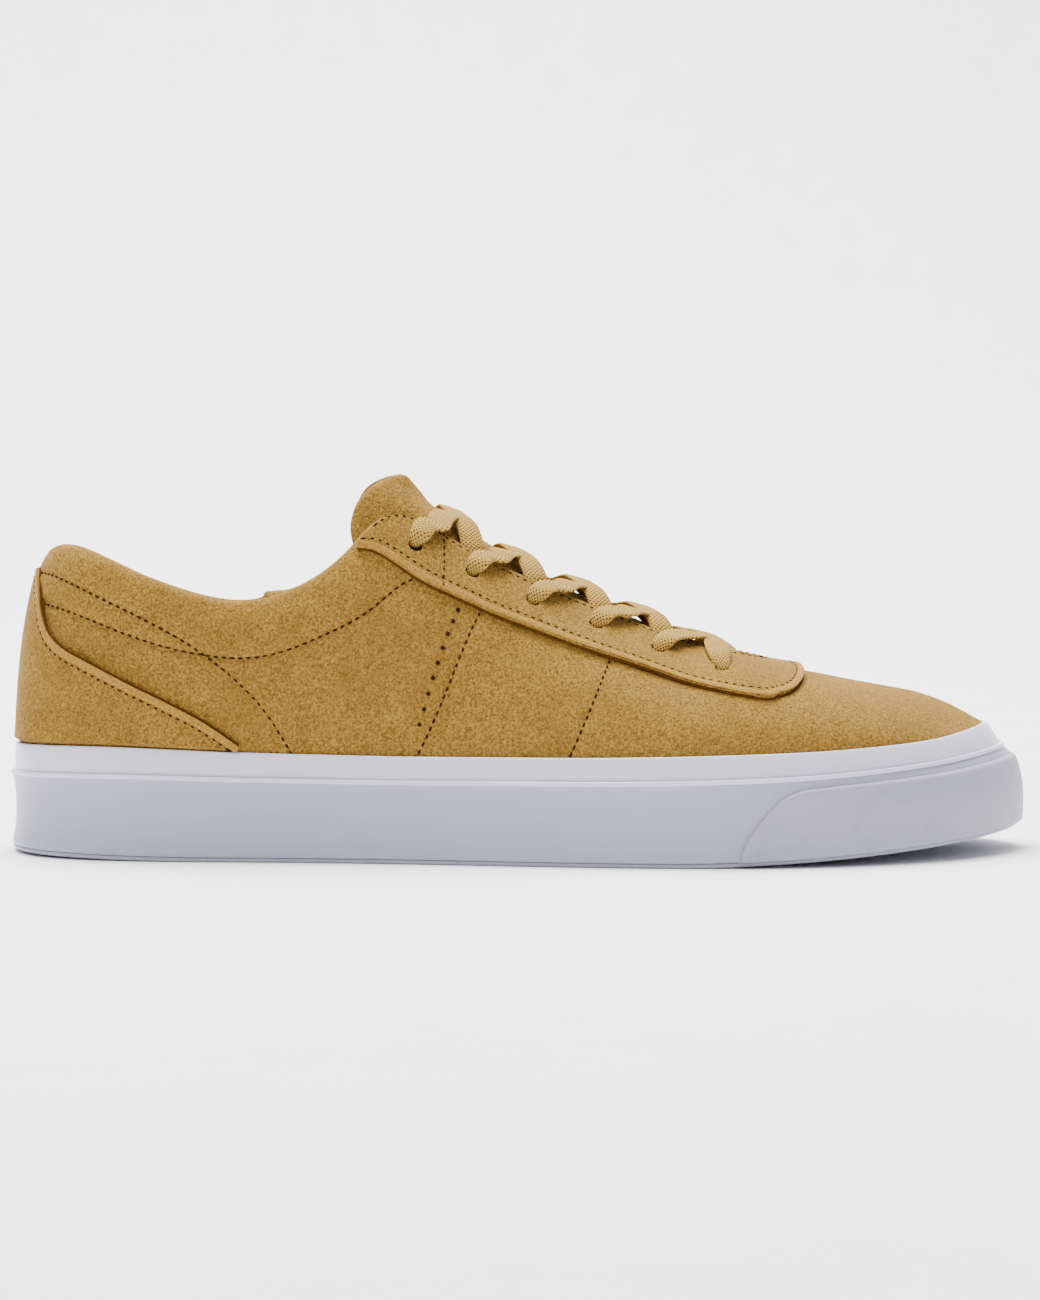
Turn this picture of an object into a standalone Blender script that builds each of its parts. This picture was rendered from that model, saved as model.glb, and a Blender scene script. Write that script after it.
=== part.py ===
"""Low-top suede skateboarding shoe for the right foot, standing empty on its sole.

Frame: the origin is on the floor under the middle of the sole, +X runs to the toe,
+Z is up and the lateral side of the shoe faces -Y. Lengths are millimetres until a
mesh is made, and angles are degrees.

Everything is laid out by two numbers. A station runs once round the shoe: 0 at the
back of the heel, 16 at the toe by the lateral side, 32 at the heel again by the medial
side. A rise climbs the upper: -1 at its lasted foot, 0 at the top of the foxing and 1
at the collar, at the throat edge or on the ridge of the vamp.
"""

import math

import bpy
import numpy as np

MM = 0.001

# Driving sizes of the whole shoe
SHOE_LENGTH = 300.0
BALL_WIDTH = 108.5
HEEL_WIDTH = 75.5
HEEL_HEIGHT = 91.0
INSTEP_HEIGHT = 100.0
TOE_SPRING = 7.2
HEEL_ROCKER = 1.1

# Sole unit
FOXING_HEIGHT = 32.7
STRIP_HEIGHT = 7.8
FOXING_DEPTH = 4.3
BEAD_HEIGHT = 0.9
BEAD_STEP = 1.1
STRIP_WALL = 0.9
DISH_DEPTH = 1.2
LIP_THICKNESS = 1.4
LIP_INSET = 0.4
OUTSOLE_THICKNESS = 3.6
MIDSOLE_HEEL = 16.0
MIDSOLE_TOE = 12.0
INSOLE_THICKNESS = 4.0
BUMPER_WALL = 1.0
BUMPER_DROP = 3.3
# How the cap's upper edge climbs, as stations from its end and shares of its height
BUMPER_CLIMB = ((0.0, 0.06), (0.06, 0.22), (0.18, 0.43), (0.41, 0.72), (0.64, 0.92), (0.89, 0.985), (1.3, 1.0))

# Upper and what is sewn on it
WALL = 2.2
COLLAR_PAD = 5.6
COUNTER_WALL = 1.0
EYESTAY_WALL = 1.4
THROAT_FRONT = 72.0
THROAT_RADIUS = 9.0
MEDIAL_DROP = 3.0

# Eyelets, lace and tongue
EYELET_DIAMETER = 4.6
LACE_WIDTH = 7.5
LACE_THICKNESS = 1.3
TONGUE_THICKNESS = 5.0
TONGUE_RISE = 15.6
TONGUE_ANGLE = 63.0
TONGUE_WRAP = 13.0
TONGUE_SWEEP = 25.0
TONGUE_DROOP = 3.0
TONGUE_TAPER = 0.17

# Room between pieces that meet, and under a panel that bridges the facets below it
GAP = 0.3
SEAT = 0.7
LACE_SEAT = 1.1
TONGUE_SEAT = 1.25

# Height of the under and over bands above the throat where they cross
LACE_LIFT = (0.1, 0.65)
# How far on towards the next row a band is at its own throat edge and at the far one
LACE_SLANT = (0.42, 0.95)
TOP_LIFT = 1.3

# One row for each station from the heel to the toe. along and top_along are shares of
# the length of the sole; lateral and medial are shares of the width there; top_half is
# a share of the ball width; by_heel and by_instep are shares of the two heights, added.
SECTION_COLUMNS = (
    "along", "lateral", "medial", "top_along", "top_half", "by_heel", "by_instep", "drop"
)
SECTIONS = (
    (0.000, 0.000, 0.000, 0.039, 0.000, 0.990, 0.000, 0.0),
    (0.012, -0.219, 0.212, 0.053, 0.106, 1.004, 0.000, 0.5),
    (0.052, -0.384, 0.371, 0.088, 0.198, 0.975, 0.000, 1.1),
    (0.124, -0.483, 0.457, 0.147, 0.263, 0.893, 0.000, 1.1),
    (0.214, -0.517, 0.470, 0.221, 0.290, 0.827, 0.000, 0.7),
    (0.295, -0.540, 0.453, 0.288, 0.286, 0.870, 0.000, 0.3),
    (0.362, -0.541, 0.425, 0.340, 0.253, 0.495, 0.450, 0.0),
    (0.422, -0.519, 0.400, 0.378, 0.198, 0.000, 0.992, 0.0),
    (0.489, -0.497, 0.385, 0.442, 0.157, 0.000, 0.902, 0.0),
    (0.563, -0.490, 0.397, 0.529, 0.134, 0.000, 0.774, 0.0),
    (0.643, -0.507, 0.442, 0.616, 0.112, 0.000, 0.667, 0.0),
    (0.717, -0.505, 0.477, 0.703, 0.092, 0.000, 0.575, 0.0),
    (0.790, -0.473, 0.487, 0.780, 0.083, 0.000, 0.530, 0.0),
    (0.860, -0.404, 0.450, 0.827, 0.070, 0.000, 0.503, 0.0),
    (0.924, -0.295, 0.364, 0.862, 0.050, 0.000, 0.484, 0.0),
    (0.974, -0.143, 0.235, 0.886, 0.025, 0.000, 0.471, 0.0),
    (1.000, 0.046, 0.046, 0.894, 0.000, 0.000, 0.466, 0.0),
)

# How each section swells between the foxing and its top: the angles at which it leaves
# and arrives, and how far each angle reaches as a share of the chord. pad is the share
# of the collar padding.
SWELL_COLUMNS = ("leave", "arrive", "reach_low", "reach_high", "pad")
SWELLS = (
    (87, 70, 0.24, 0.36, 0.90),
    (87, 71, 0.25, 0.36, 0.95),
    (89, 73, 0.28, 0.35, 1.00),
    (91, 76, 0.32, 0.34, 1.00),
    (92, 76, 0.34, 0.34, 1.00),
    (91, 72, 0.34, 0.34, 0.95),
    (89, 66, 0.34, 0.34, 0.65),
    (87, 55, 0.34, 0.34, 0.20),
    (85, 46, 0.36, 0.34, 0.00),
    (83, 40, 0.36, 0.36, 0.00),
    (80, 33, 0.34, 0.38, 0.00),
    (77, 24, 0.30, 0.42, 0.00),
    (72, 0, 0.26, 0.48, 0.00),
    (64, 0, 0.26, 0.46, 0.00),
    (52, 0, 0.28, 0.42, 0.00),
    (38, 0, 0.32, 0.38, 0.00),
    (31, 0, 0.35, 0.35, 0.00),
)

# The foxing at each station, as shares of its height, of the strip and of the dish.
FOXING_COLUMNS = ("height", "lean_bead", "lean_top", "strip", "dish")
FOXING_ROWS = (
    (0.976, 0.000, 0.036, 1.00, 1.0),
    (0.985, 0.002, 0.040, 1.00, 1.0),
    (0.995, 0.010, 0.052, 1.00, 1.0),
    (0.992, 0.018, 0.066, 0.97, 1.0),
    (0.960, 0.022, 0.076, 0.90, 1.0),
    (0.942, 0.024, 0.080, 0.87, 1.0),
    (0.932, 0.024, 0.082, 0.85, 1.0),
    (0.930, 0.024, 0.084, 0.84, 1.0),
    (0.933, 0.025, 0.086, 0.83, 1.0),
    (0.937, 0.028, 0.090, 0.83, 1.0),
    (0.950, 0.034, 0.100, 0.84, 1.0),
    (0.966, 0.044, 0.118, 0.84, 0.9),
    (0.984, 0.058, 0.145, 0.80, 0.6),
    (1.012, 0.078, 0.180, 0.74, 0.2),
    (1.052, 0.100, 0.225, 0.70, -0.2),
    (1.110, 0.122, 0.268, 0.72, -0.4),
    (1.142, 0.132, 0.288, 0.74, -0.4),
)

# Lower edge of the facing and upper edge of the counter, as station and rise.
EYESTAY_COLUMNS = ("station", "rise")
EYESTAY_EDGE = (
    (6.12, 0.995),
    (6.40, 0.920),
    (7.12, 0.712),
    (7.93, 0.652),
    (8.73, 0.640),
    (9.47, 0.612),
    (10.00, 0.578),
    (10.54, 0.525),
    (11.05, 0.440),
    (11.45, 0.410),
    (11.75, 0.500),
    (11.94, 0.700),
    (12.03, 1.000),
)
COUNTER_COLUMNS = ("station", "rise")
COUNTER_EDGE = (
    (0.00, 0.930),
    (0.45, 0.920),
    (0.70, 0.870),
    (0.91, 0.808),
    (1.11, 0.737),
    (1.39, 0.649),
    (1.62, 0.595),
    (1.95, 0.545),
    (2.47, 0.485),
    (3.00, 0.403),
    (3.44, 0.316),
    (3.82, 0.211),
    (4.22, 0.050),
)

# Eyelets of one side from the top to the toe, as station and rise.
EYELET_COLUMNS = ("station", "rise")
EYELETS = (
    (7.21, 0.863),
    (8.00, 0.838),
    (8.71, 0.828),
    (9.43, 0.828),
    (10.13, 0.797),
    (10.87, 0.700),
)

# How finely the rings are divided
END_STEPS = 3
SIDE_STEPS = 2
SIDE_ROWS = range(3, 10)
THROAT_STEPS = 5
OUTER_RISES = (-1.0, 0.0, 0.13, 0.27, 0.41, 0.56, 0.71, 0.86, 1.0)
EYELET_SIDES = 6
INNER_RISES = (1.0, 0.8, 0.6, 0.35, 0.0, -1.0)
RIM_ANGLES = (60, 120)
PAD_START = 0.42

ROWS = len(SECTIONS)
TOE = ROWS - 1
ROUND = 2 * TOE
BUMPER_OUT = GAP + BUMPER_WALL
SOLE_LENGTH = SHOE_LENGTH - BUMPER_OUT


def column(names, rows, name):
    """Return one named column of a table as an array."""
    return np.array([row[names.index(name)] for row in rows], dtype=float)


def round_trip(lateral, medial=None):
    """Return values for a full trip round the shoe from the rows of its two sides."""
    medial = lateral if medial is None else medial
    return np.concatenate([lateral, medial[1:-1][::-1]])


def smooth_step(low, high, value):
    """Ease from 0 to 1 as the value goes from low to high."""
    share = np.clip((np.asarray(value, dtype=float) - low) / (high - low), 0.0, 1.0)
    return share * share * (3.0 - 2.0 * share)


class Closed:
    """A smooth closed curve of numbers through evenly numbered rows."""

    def __init__(self, values):
        self.values = np.asarray(values, dtype=float)
        count = len(self.values)
        matrix = 4.0 * np.eye(count)
        matrix += np.roll(np.eye(count), 1, axis=0) + np.roll(np.eye(count), -1, axis=0)
        second = np.roll(self.values, 1) - 2.0 * self.values + np.roll(self.values, -1)
        self.bend = np.linalg.solve(matrix, 6.0 * second)

    def __call__(self, station):
        station = np.asarray(station, dtype=float)
        low = np.floor(station).astype(int)
        after = station - low
        before = 1.0 - after
        count = len(self.values)
        low = low % count
        high = (low + 1) % count
        value = before * self.values[low] + after * self.values[high]
        bent = (before**3 - before) * self.bend[low] + (after**3 - after) * self.bend[high]
        return value + bent / 6.0


def section(name):
    """Return a column of the section table as a closed curve."""
    return Closed(round_trip(column(SECTION_COLUMNS, SECTIONS, name)))


def swell(name):
    """Return a column of the swell table as a closed curve."""
    return Closed(round_trip(column(SWELL_COLUMNS, SWELLS, name)))


def foxing(name):
    """Return a column of the foxing table as a closed curve."""
    return Closed(round_trip(column(FOXING_COLUMNS, FOXING_ROWS, name)))


def width_there(along):
    """Return the width that the across shares are taken of."""
    return HEEL_WIDTH + (BALL_WIDTH - HEEL_WIDTH) * smooth_step(0.30, 0.60, along)


ALONG = column(SECTION_COLUMNS, SECTIONS, "along")
LATERAL = column(SECTION_COLUMNS, SECTIONS, "lateral") * width_there(ALONG)
MEDIAL = column(SECTION_COLUMNS, SECTIONS, "medial") * width_there(ALONG)
OUTLINE_X = Closed(round_trip(ALONG) * SOLE_LENGTH - SHOE_LENGTH / 2)
ACROSS = Closed(round_trip(LATERAL, MEDIAL))
MIDDLE = (ACROSS(np.linspace(0, ROUND, 640)).min() + ACROSS(np.linspace(0, ROUND, 640)).max()) / 2
OUTLINE_Y = Closed(round_trip(LATERAL, MEDIAL) - MIDDLE)
TOE_SIDE = LATERAL[-1] - MIDDLE

TOP_X = Closed(round_trip(column(SECTION_COLUMNS, SECTIONS, "top_along")) * SOLE_LENGTH - SHOE_LENGTH / 2)
TOP_HALF = column(SECTION_COLUMNS, SECTIONS, "top_half") * BALL_WIDTH
TOP_SIDE = Closed(round_trip(-TOP_HALF, TOP_HALF))
BY_HEEL = section("by_heel")
BY_INSTEP = section("by_instep")
DROP = section("drop")
LEAVE = swell("leave")
ARRIVE = swell("arrive")
REACH_LOW = swell("reach_low")
REACH_HIGH = swell("reach_high")
PAD = swell("pad")
FOX_HEIGHT = foxing("height")
LEAN_BEAD = foxing("lean_bead")
LEAN_TOP = foxing("lean_top")
STRIP = foxing("strip")
DISH = foxing("dish")


def is_medial(station):
    """Return 1 on the medial side of the shoe and 0 on the lateral side."""
    return (np.mod(station, ROUND) > TOE).astype(float)


def outline(station, inset):
    """Return x and y of the sole's outline, moved inwards by the inset."""
    station = np.asarray(station, dtype=float)
    step = 0.02
    x, y = OUTLINE_X(station), OUTLINE_Y(station)
    run = OUTLINE_X(station + step) - OUTLINE_X(station - step)
    rise = OUTLINE_Y(station + step) - OUTLINE_Y(station - step)
    length = np.hypot(run, rise)
    return x - rise / length * inset, y + run / length * inset


def floor_gap(x):
    """Return the height of the sole's underside above the floor."""
    half = SHOE_LENGTH / 2
    toe = np.clip((np.asarray(x) - 0.30 * half) / (0.70 * half), 0.0, None)
    heel = np.clip((-0.62 * half - np.asarray(x)) / (0.38 * half), 0.0, None)
    return TOE_SPRING * toe**1.6 + HEEL_ROCKER * heel**1.4


def midsole_top(x):
    """Return the height of the midsole's upper face."""
    forward = smooth_step(-0.35 * SHOE_LENGTH, 0.25 * SHOE_LENGTH, x)
    return floor_gap(x) + MIDSOLE_HEEL + (MIDSOLE_TOE - MIDSOLE_HEEL) * forward


def foxing_top(station):
    """Return the height of the foxing's top edge."""
    return FOX_HEIGHT(station) * FOXING_HEIGHT


def bead_top(station):
    """Return the height of the bead between the two bands of the foxing."""
    return foxing_top(station) - STRIP(station) * STRIP_HEIGHT


def feather_inset(station):
    """Return how far inside the outline the upper leaves the foxing."""
    return LEAN_TOP(station) * FOXING_HEIGHT + STRIP_WALL + GAP


def foot_inset(station, height):
    """Return the inset of the upper's outer face inside the foxing, at a height."""
    x, _ = outline(station, FOXING_DEPTH + GAP)
    low = midsole_top(x)
    share = np.clip((height - low) / (foxing_top(station) - low), 0.0, None)
    base = FOXING_DEPTH + GAP
    return base + (feather_inset(station) - base) * share


def top_line(station):
    """Return the crest of the collar, throat edge or ridge."""
    x = TOP_X(station)
    centre = TOE_SIDE * np.clip((x + SHOE_LENGTH / 2) / SOLE_LENGTH, 0.0, 1.0) ** 1.5
    turn = np.clip((x - THROAT_FRONT + THROAT_RADIUS) / THROAT_RADIUS, 0.0, 1.0)
    y = centre + TOP_SIDE(station) * np.sqrt(1.0 - turn**2)
    z = BY_HEEL(station) * HEEL_HEIGHT + BY_INSTEP(station) * INSTEP_HEIGHT
    z = z - is_medial(station) * DROP(station) * MEDIAL_DROP
    return np.stack([x, y, z], axis=-1)


def lying_in_section(flat, angle):
    """Return a direction that rises at an angle from a flat direction."""
    angle = np.radians(angle)[..., None]
    up = np.zeros(flat.shape)
    up[..., 2] = 1.0
    return flat * np.cos(angle) + up * np.sin(angle)


def unit(vectors):
    """Return vectors scaled to a length of one."""
    return vectors / np.linalg.norm(vectors, axis=-1, keepdims=True)


def rim_crest(station):
    """Return how far the rolled edge stands beyond the end of the outer face."""
    return 0.45 * (WALL + COLLAR_PAD * PAD(station))


def ridge_slope(station):
    """Return how the top line climbs along the shoe, for the ridge of the vamp."""
    step = 0.05
    toe = np.abs(np.mod(station, ROUND) - TOE)
    place = np.where(toe < 4 * step, TOE - 4 * step, station)
    ahead, behind = top_line(place + step), top_line(place - step)
    run = ahead[..., 0] - behind[..., 0]
    return (ahead[..., 2] - behind[..., 2]) / np.where(np.abs(run) < 1e-6, 1e-6, run)


def closing(station):
    """Ease from 0 at the open throat to 1 where the throat has closed."""
    return smooth_step(THROAT_FRONT - 3.5 * THROAT_RADIUS, THROAT_FRONT, TOP_X(station))


def arrival(station):
    """Return the direction in which a section reaches the top line."""
    flat = top_line(station) - feather(station)
    flat[..., 2] = 0.0
    flat = unit(flat)
    direction = lying_in_section(flat, ARRIVE(station))
    ridge = flat.copy()
    ridge[..., 2] = ridge_slope(station) * flat[..., 0]
    share = closing(station)[..., None]
    return unit(direction * (1.0 - share) + unit(ridge) * share)


def feather(station):
    """Return where the upper comes out of the foxing."""
    x, y = outline(station, feather_inset(station))
    return np.stack([x, y, foxing_top(station)], axis=-1)


def upper_face(station, rise):
    """Return points on the outer face of the upper."""
    station, rise = np.broadcast_arrays(np.asarray(station, float), np.asarray(rise, float))
    foot = feather(station)
    direction = arrival(station)
    top = top_line(station)
    roll = rim_crest(station) * (1.0 - closing(station))
    top = top - direction * roll[..., None]
    chord = np.linalg.norm(top - foot, axis=-1)[..., None]
    inner_x, inner_y = outline(station, feather_inset(station) + 1.0)
    inward = unit(np.stack([inner_x, inner_y, foot[..., 2]], axis=-1) - foot)
    low = foot + lying_in_section(inward, LEAVE(station)) * chord * REACH_LOW(station)[..., None]
    high = top - direction * chord * REACH_HIGH(station)[..., None]
    up = np.clip(rise, 0.0, None)[..., None]
    down = 1.0 - up
    above = foot * down**3 + 3 * low * down**2 * up + 3 * high * down * up**2 + top * up**3
    base_x, _ = outline(station, FOXING_DEPTH + GAP)
    base = midsole_top(base_x) + GAP
    height = base + (foot[..., 2] - base) * np.clip(rise + 1.0, 0.0, 1.0)
    x, y = outline(station, foot_inset(station, height))
    below = np.stack([x, y, height], axis=-1)
    return np.where((rise < 0.0)[..., None], below, above)


def upper_normal(station, rise):
    """Return the outward normal of the upper's outer face."""
    station, rise = np.broadcast_arrays(np.asarray(station, float), np.asarray(rise, float))
    near_top = (TOP_X(station) >= THROAT_FRONT) & (rise > 0.97)
    rise = np.where(near_top, 0.97, rise)
    step = 0.01
    above = upper_face(station, np.minimum(rise + step, 1.0))
    below = upper_face(station, np.maximum(rise - step, -1.0))
    ahead = upper_face(station + step, rise)
    behind = upper_face(station - step, rise)
    normal = unit(np.cross(ahead - behind, above - below))
    slope = ridge_slope(station)
    ridge = np.stack([-slope, np.zeros(slope.shape), np.ones(slope.shape)], axis=-1)
    return np.where(near_top[..., None], unit(ridge), normal)


def thickness(station, rise):
    """Return the thickness of the upper, with the padding of its collar."""
    return WALL + COLLAR_PAD * PAD(station) * smooth_step(PAD_START, 0.95, rise)


def upper_offset(station, rise, offset):
    """Return points at a distance outside the upper's outer face."""
    offset = np.asarray(offset, dtype=float)[..., None]
    return upper_face(station, rise) + upper_normal(station, rise) * offset


def station_at(x):
    """Return the lateral station whose section tops out at x."""
    low, high = 6.5, float(TOE)
    for _ in range(50):
        middle = (low + high) / 2
        if float(TOP_X(middle)) < x:
            low = middle
        else:
            high = middle
    return (low + high) / 2


THROAT_STATION = station_at(THROAT_FRONT)


def side_stations():
    """Return the stations of one side, denser where the throat turns round."""
    plain = []
    for row in range(TOE):
        steps = SIDE_STEPS if row in SIDE_ROWS else END_STEPS
        plain += [row + k / steps for k in range(steps)]
    plain.append(float(TOE))
    turn = []
    for k in range(THROAT_STEPS + 1):
        angle = math.radians(90.0 * k / THROAT_STEPS)
        turn.append(station_at(THROAT_FRONT - THROAT_RADIUS + THROAT_RADIUS * math.sin(angle)))
    low, high = turn[0], turn[-1]
    keep = [s for s in plain if s < low - 0.12 or s > high + 0.12]
    return sorted(keep + turn)


HALF_ROUND = side_stations()
STATIONS = np.array(HALF_ROUND + [ROUND - s for s in HALF_ROUND[-2:0:-1]])
COUNT = len(STATIONS)
HALF = COUNT // 2
THROAT_INDEX = int(np.argmin(np.abs(np.array(HALF_ROUND) - THROAT_STATION)))


def make_object(name, points, faces, material):
    """Make a named mesh object from points in millimetres."""
    mesh = bpy.data.meshes.new(name)
    mesh.from_pydata([tuple(float(c) * MM for c in p) for p in points], [], faces)
    mesh.materials.append(material)
    mesh.validate()
    mesh.update()
    mesh.shade_smooth()
    mesh.set_sharp_from_angle(angle=math.radians(35))
    body = bpy.data.objects.new(name, mesh)
    bpy.context.scene.collection.objects.link(body)
    return body


def make_material(name, red, green, blue, roughness):
    """Make a plain material with the piece's colour."""
    material = bpy.data.materials.new(name)
    material.use_nodes = True
    shader = material.node_tree.nodes["Principled BSDF"]
    shader.inputs["Base Color"].default_value = (red, green, blue, 1.0)
    shader.inputs["Roughness"].default_value = roughness
    shader.inputs["Metallic"].default_value = 0.0
    return material


def band_faces(lower, upper, count):
    """Return the quads between two closed loops of the same count."""
    return [
        (lower + i, lower + (i + 1) % count, upper + (i + 1) % count, upper + i)
        for i in range(count)
    ]


def cap_faces(start, count, up):
    """Return strips across a loop from its lateral to its medial half."""
    half = count // 2
    faces = []
    for i in range(half):
        left, right = start + i, start + (count - i) % count
        next_left, next_right = start + i + 1, start + count - i - 1
        face = [left, next_left, next_right, right]
        face = [v for k, v in enumerate(face) if v not in face[:k]]
        faces.append(tuple(face) if up else tuple(reversed(face)))
    return faces


def ring_loop(inset, height):
    """Return a loop of points round the shoe at an inset and a height."""
    inset = np.broadcast_to(inset, STATIONS.shape)
    x, y = outline(STATIONS, inset)
    z = height(x) if callable(height) else height
    return np.stack([x, y, np.broadcast_to(z, x.shape)], axis=-1)


def stacked_solid(name, loops, material):
    """Make a capped solid from loops that run from its bottom to its top."""
    points = np.concatenate(loops)
    faces = cap_faces(0, COUNT, up=False)
    for k in range(len(loops) - 1):
        faces += band_faces(k * COUNT, (k + 1) * COUNT, COUNT)
    faces += cap_faces((len(loops) - 1) * COUNT, COUNT, up=True)
    return make_object(name, points, faces, material)


def ring_solid(name, loops, material):
    """Make a closed ring from loops that run up its outside and down its inside."""
    points = np.concatenate(loops)
    faces = []
    for k in range(len(loops)):
        following = (k + 1) % len(loops)
        faces += band_faces(k * COUNT, following * COUNT, COUNT)
    return make_object(name, points, faces, material)


def patch_solid(name, outer, inner, material):
    """Make a closed panel from two grids of points, outer and inner."""
    rows, columns, _ = outer.shape
    points = np.concatenate([outer.reshape(-1, 3), inner.reshape(-1, 3)])
    shift = rows * columns

    def at(row, col, inside=False):
        return row * columns + col + (shift if inside else 0)

    faces = []
    for r in range(rows - 1):
        for c in range(columns - 1):
            faces.append((at(r, c), at(r, c + 1), at(r + 1, c + 1), at(r + 1, c)))
            faces.append((at(r, c, True), at(r + 1, c, True), at(r + 1, c + 1, True), at(r, c + 1, True)))
    for c in range(columns - 1):
        faces.append((at(0, c), at(0, c, True), at(0, c + 1, True), at(0, c + 1)))
        last = rows - 1
        faces.append((at(last, c), at(last, c + 1), at(last, c + 1, True), at(last, c, True)))
    for r in range(rows - 1):
        faces.append((at(r, 0), at(r + 1, 0), at(r + 1, 0, True), at(r, 0, True)))
        last = columns - 1
        faces.append((at(r, last), at(r, last, True), at(r + 1, last, True), at(r + 1, last)))
    return make_object(name, points, faces, material)


def build_outsole(material):
    """Tread plate: a thin lip under the foxing and a thicker middle inside it."""
    inner = FOXING_DEPTH + GAP
    return stacked_solid("outsole", [
        ring_loop(LIP_INSET, floor_gap),
        ring_loop(LIP_INSET * 0.5, lambda x: floor_gap(x) + LIP_THICKNESS),
        ring_loop(inner, lambda x: floor_gap(x) + LIP_THICKNESS),
        ring_loop(inner, lambda x: floor_gap(x) + OUTSOLE_THICKNESS),
    ], material)


def build_midsole(material):
    """The slab inside the foxing that carries the lasted upper."""
    inner = FOXING_DEPTH + GAP
    return stacked_solid("midsole", [
        ring_loop(inner, lambda x: floor_gap(x) + OUTSOLE_THICKNESS + GAP),
        ring_loop(inner, midsole_top),
    ], material)


def build_insole(material):
    """The sock liner inside the foot of the upper."""
    x, _ = outline(STATIONS, FOXING_DEPTH + GAP)
    top = midsole_top(x) + GAP + INSOLE_THICKNESS
    inset = foot_inset(STATIONS, top) + WALL + 2 * GAP
    base = foot_inset(STATIONS, midsole_top(x)) + WALL + 2 * GAP
    return stacked_solid("insole", [
        ring_loop(base, lambda x: midsole_top(x) + GAP),
        ring_loop(inset, lambda x: midsole_top(x) + GAP + INSOLE_THICKNESS),
    ], material)


def foxing_outer(share):
    """Return the inset and height of the foxing's dished face at a share of its height."""
    x, _ = outline(STATIONS, LIP_INSET)
    low = floor_gap(x) + LIP_THICKNESS + GAP
    height = low + (bead_top(STATIONS) - low) * share
    lean = LEAN_BEAD(STATIONS) * FOXING_HEIGHT
    hollow = DISH(STATIONS) * DISH_DEPTH * 4.0 * share * (1.0 - share)
    return hollow + lean * share**3, height


def build_foxing(material):
    """Lower band of the sidewall, dished, with a bead along its top."""
    low_x, _ = outline(STATIONS, LIP_INSET)
    low = floor_gap(low_x) + LIP_THICKNESS + GAP
    bead = bead_top(STATIONS)
    lean = LEAN_BEAD(STATIONS) * FOXING_HEIGHT
    loops = [ring_loop(LIP_INSET * 0.5, low)]
    for share in (0.28, 0.68):
        inset, height = foxing_outer(share)
        loops.append(ring_loop(inset, height))
    loops.append(ring_loop(lean + BEAD_HEIGHT * 0.3, bead - BEAD_HEIGHT * 1.6))
    loops.append(ring_loop(lean, bead - BEAD_HEIGHT * 0.6))
    loops.append(ring_loop(lean + BEAD_HEIGHT * 0.4, bead))
    loops.append(ring_loop(foot_inset(STATIONS, bead) - GAP, bead))
    loops.append(ring_loop(FOXING_DEPTH, lambda x: midsole_top(x) + GAP / 2))
    loops.append(ring_loop(FOXING_DEPTH, low))
    return ring_solid("foxing", loops, material)


def build_foxing_strip(material):
    """Upper band of the sidewall, thin and set back, round the foot of the upper."""
    low = bead_top(STATIONS) + GAP
    high = foxing_top(STATIONS)
    step = LEAN_BEAD(STATIONS) * FOXING_HEIGHT + BEAD_STEP
    top = LEAN_TOP(STATIONS) * FOXING_HEIGHT
    return ring_solid("foxing_strip", [
        ring_loop(step, low),
        ring_loop(top, high),
        ring_loop(foot_inset(STATIONS, high) - GAP, high),
        ring_loop(foot_inset(STATIONS, low) - GAP, low),
    ], material)


def build_bumper(material):
    """Rubber cap over the front of the foxing."""
    low_index = int(np.searchsorted(HALF_ROUND, 10.9))
    stations = STATIONS[low_index:COUNT - low_index + 1]
    mirrored = np.where(stations > TOE, ROUND - stations, stations)
    climb = np.interp(mirrored - HALF_ROUND[low_index], *zip(*BUMPER_CLIMB))
    x, _ = outline(stations, LIP_INSET)
    low = floor_gap(x) + LIP_THICKNESS + GAP
    bead = bead_top(stations)
    crown = (bead - BUMPER_DROP - low) / (bead - low)
    lean = LEAN_BEAD(stations) * FOXING_HEIGHT
    up = np.array([0.02, 0.38, 0.85, 1.0])[:, None] * crown * climb
    height = low + (bead - low) * up
    hollow = DISH(stations) * DISH_DEPTH * 4.0 * up * (1.0 - up)
    inset = hollow + lean * up**3 - GAP - 0.12
    edge = np.array([0.7, 1.0, 1.0, 0.45])[:, None]
    wide = np.broadcast_to(stations, inset.shape)
    inner_x, inner_y = outline(wide, inset)
    outer_x, outer_y = outline(wide, inset - BUMPER_WALL * edge)
    inner = np.stack([inner_x, inner_y, height], axis=-1)
    outer = np.stack([outer_x, outer_y, height], axis=-1)
    return patch_solid("toe_bumper", outer, inner, material)


def upper_grid():
    """Return the outer, rim and inner points of the upper, column by column."""
    outer = upper_face(STATIONS[None, :], np.array(OUTER_RISES)[:, None])
    normals = upper_normal(STATIONS, 1.0)
    depth = thickness(STATIONS, 1.0)
    edge = np.concatenate([np.arange(0, THROAT_INDEX + 1), np.arange(COUNT - THROAT_INDEX + 1, COUNT)])
    tops = outer[-1]
    rim = np.zeros((len(RIM_ANGLES), COUNT, 3))
    for place, index in enumerate(edge):
        before = tops[edge[place - 1]]
        after = tops[edge[(place + 1) % len(edge)]]
        normal = normals[index]
        across = unit(np.cross(before - after, normal))
        half = depth[index] / 2
        centre = tops[index] - normal * half
        for row, angle in enumerate(RIM_ANGLES):
            swing = math.radians(angle)
            rim[row, index] = centre + normal * half * math.cos(swing) + across * half * 0.9 * math.sin(swing)
    rises = np.array(INNER_RISES)[:, None]
    inner = upper_offset(STATIONS[None, :], rises, -thickness(STATIONS[None, :], rises))
    inner[-1, :, 2] = np.maximum(outer[0, :, 2], midsole_top(inner[-1, :, 0]) + GAP)
    return outer, rim, inner


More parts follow.
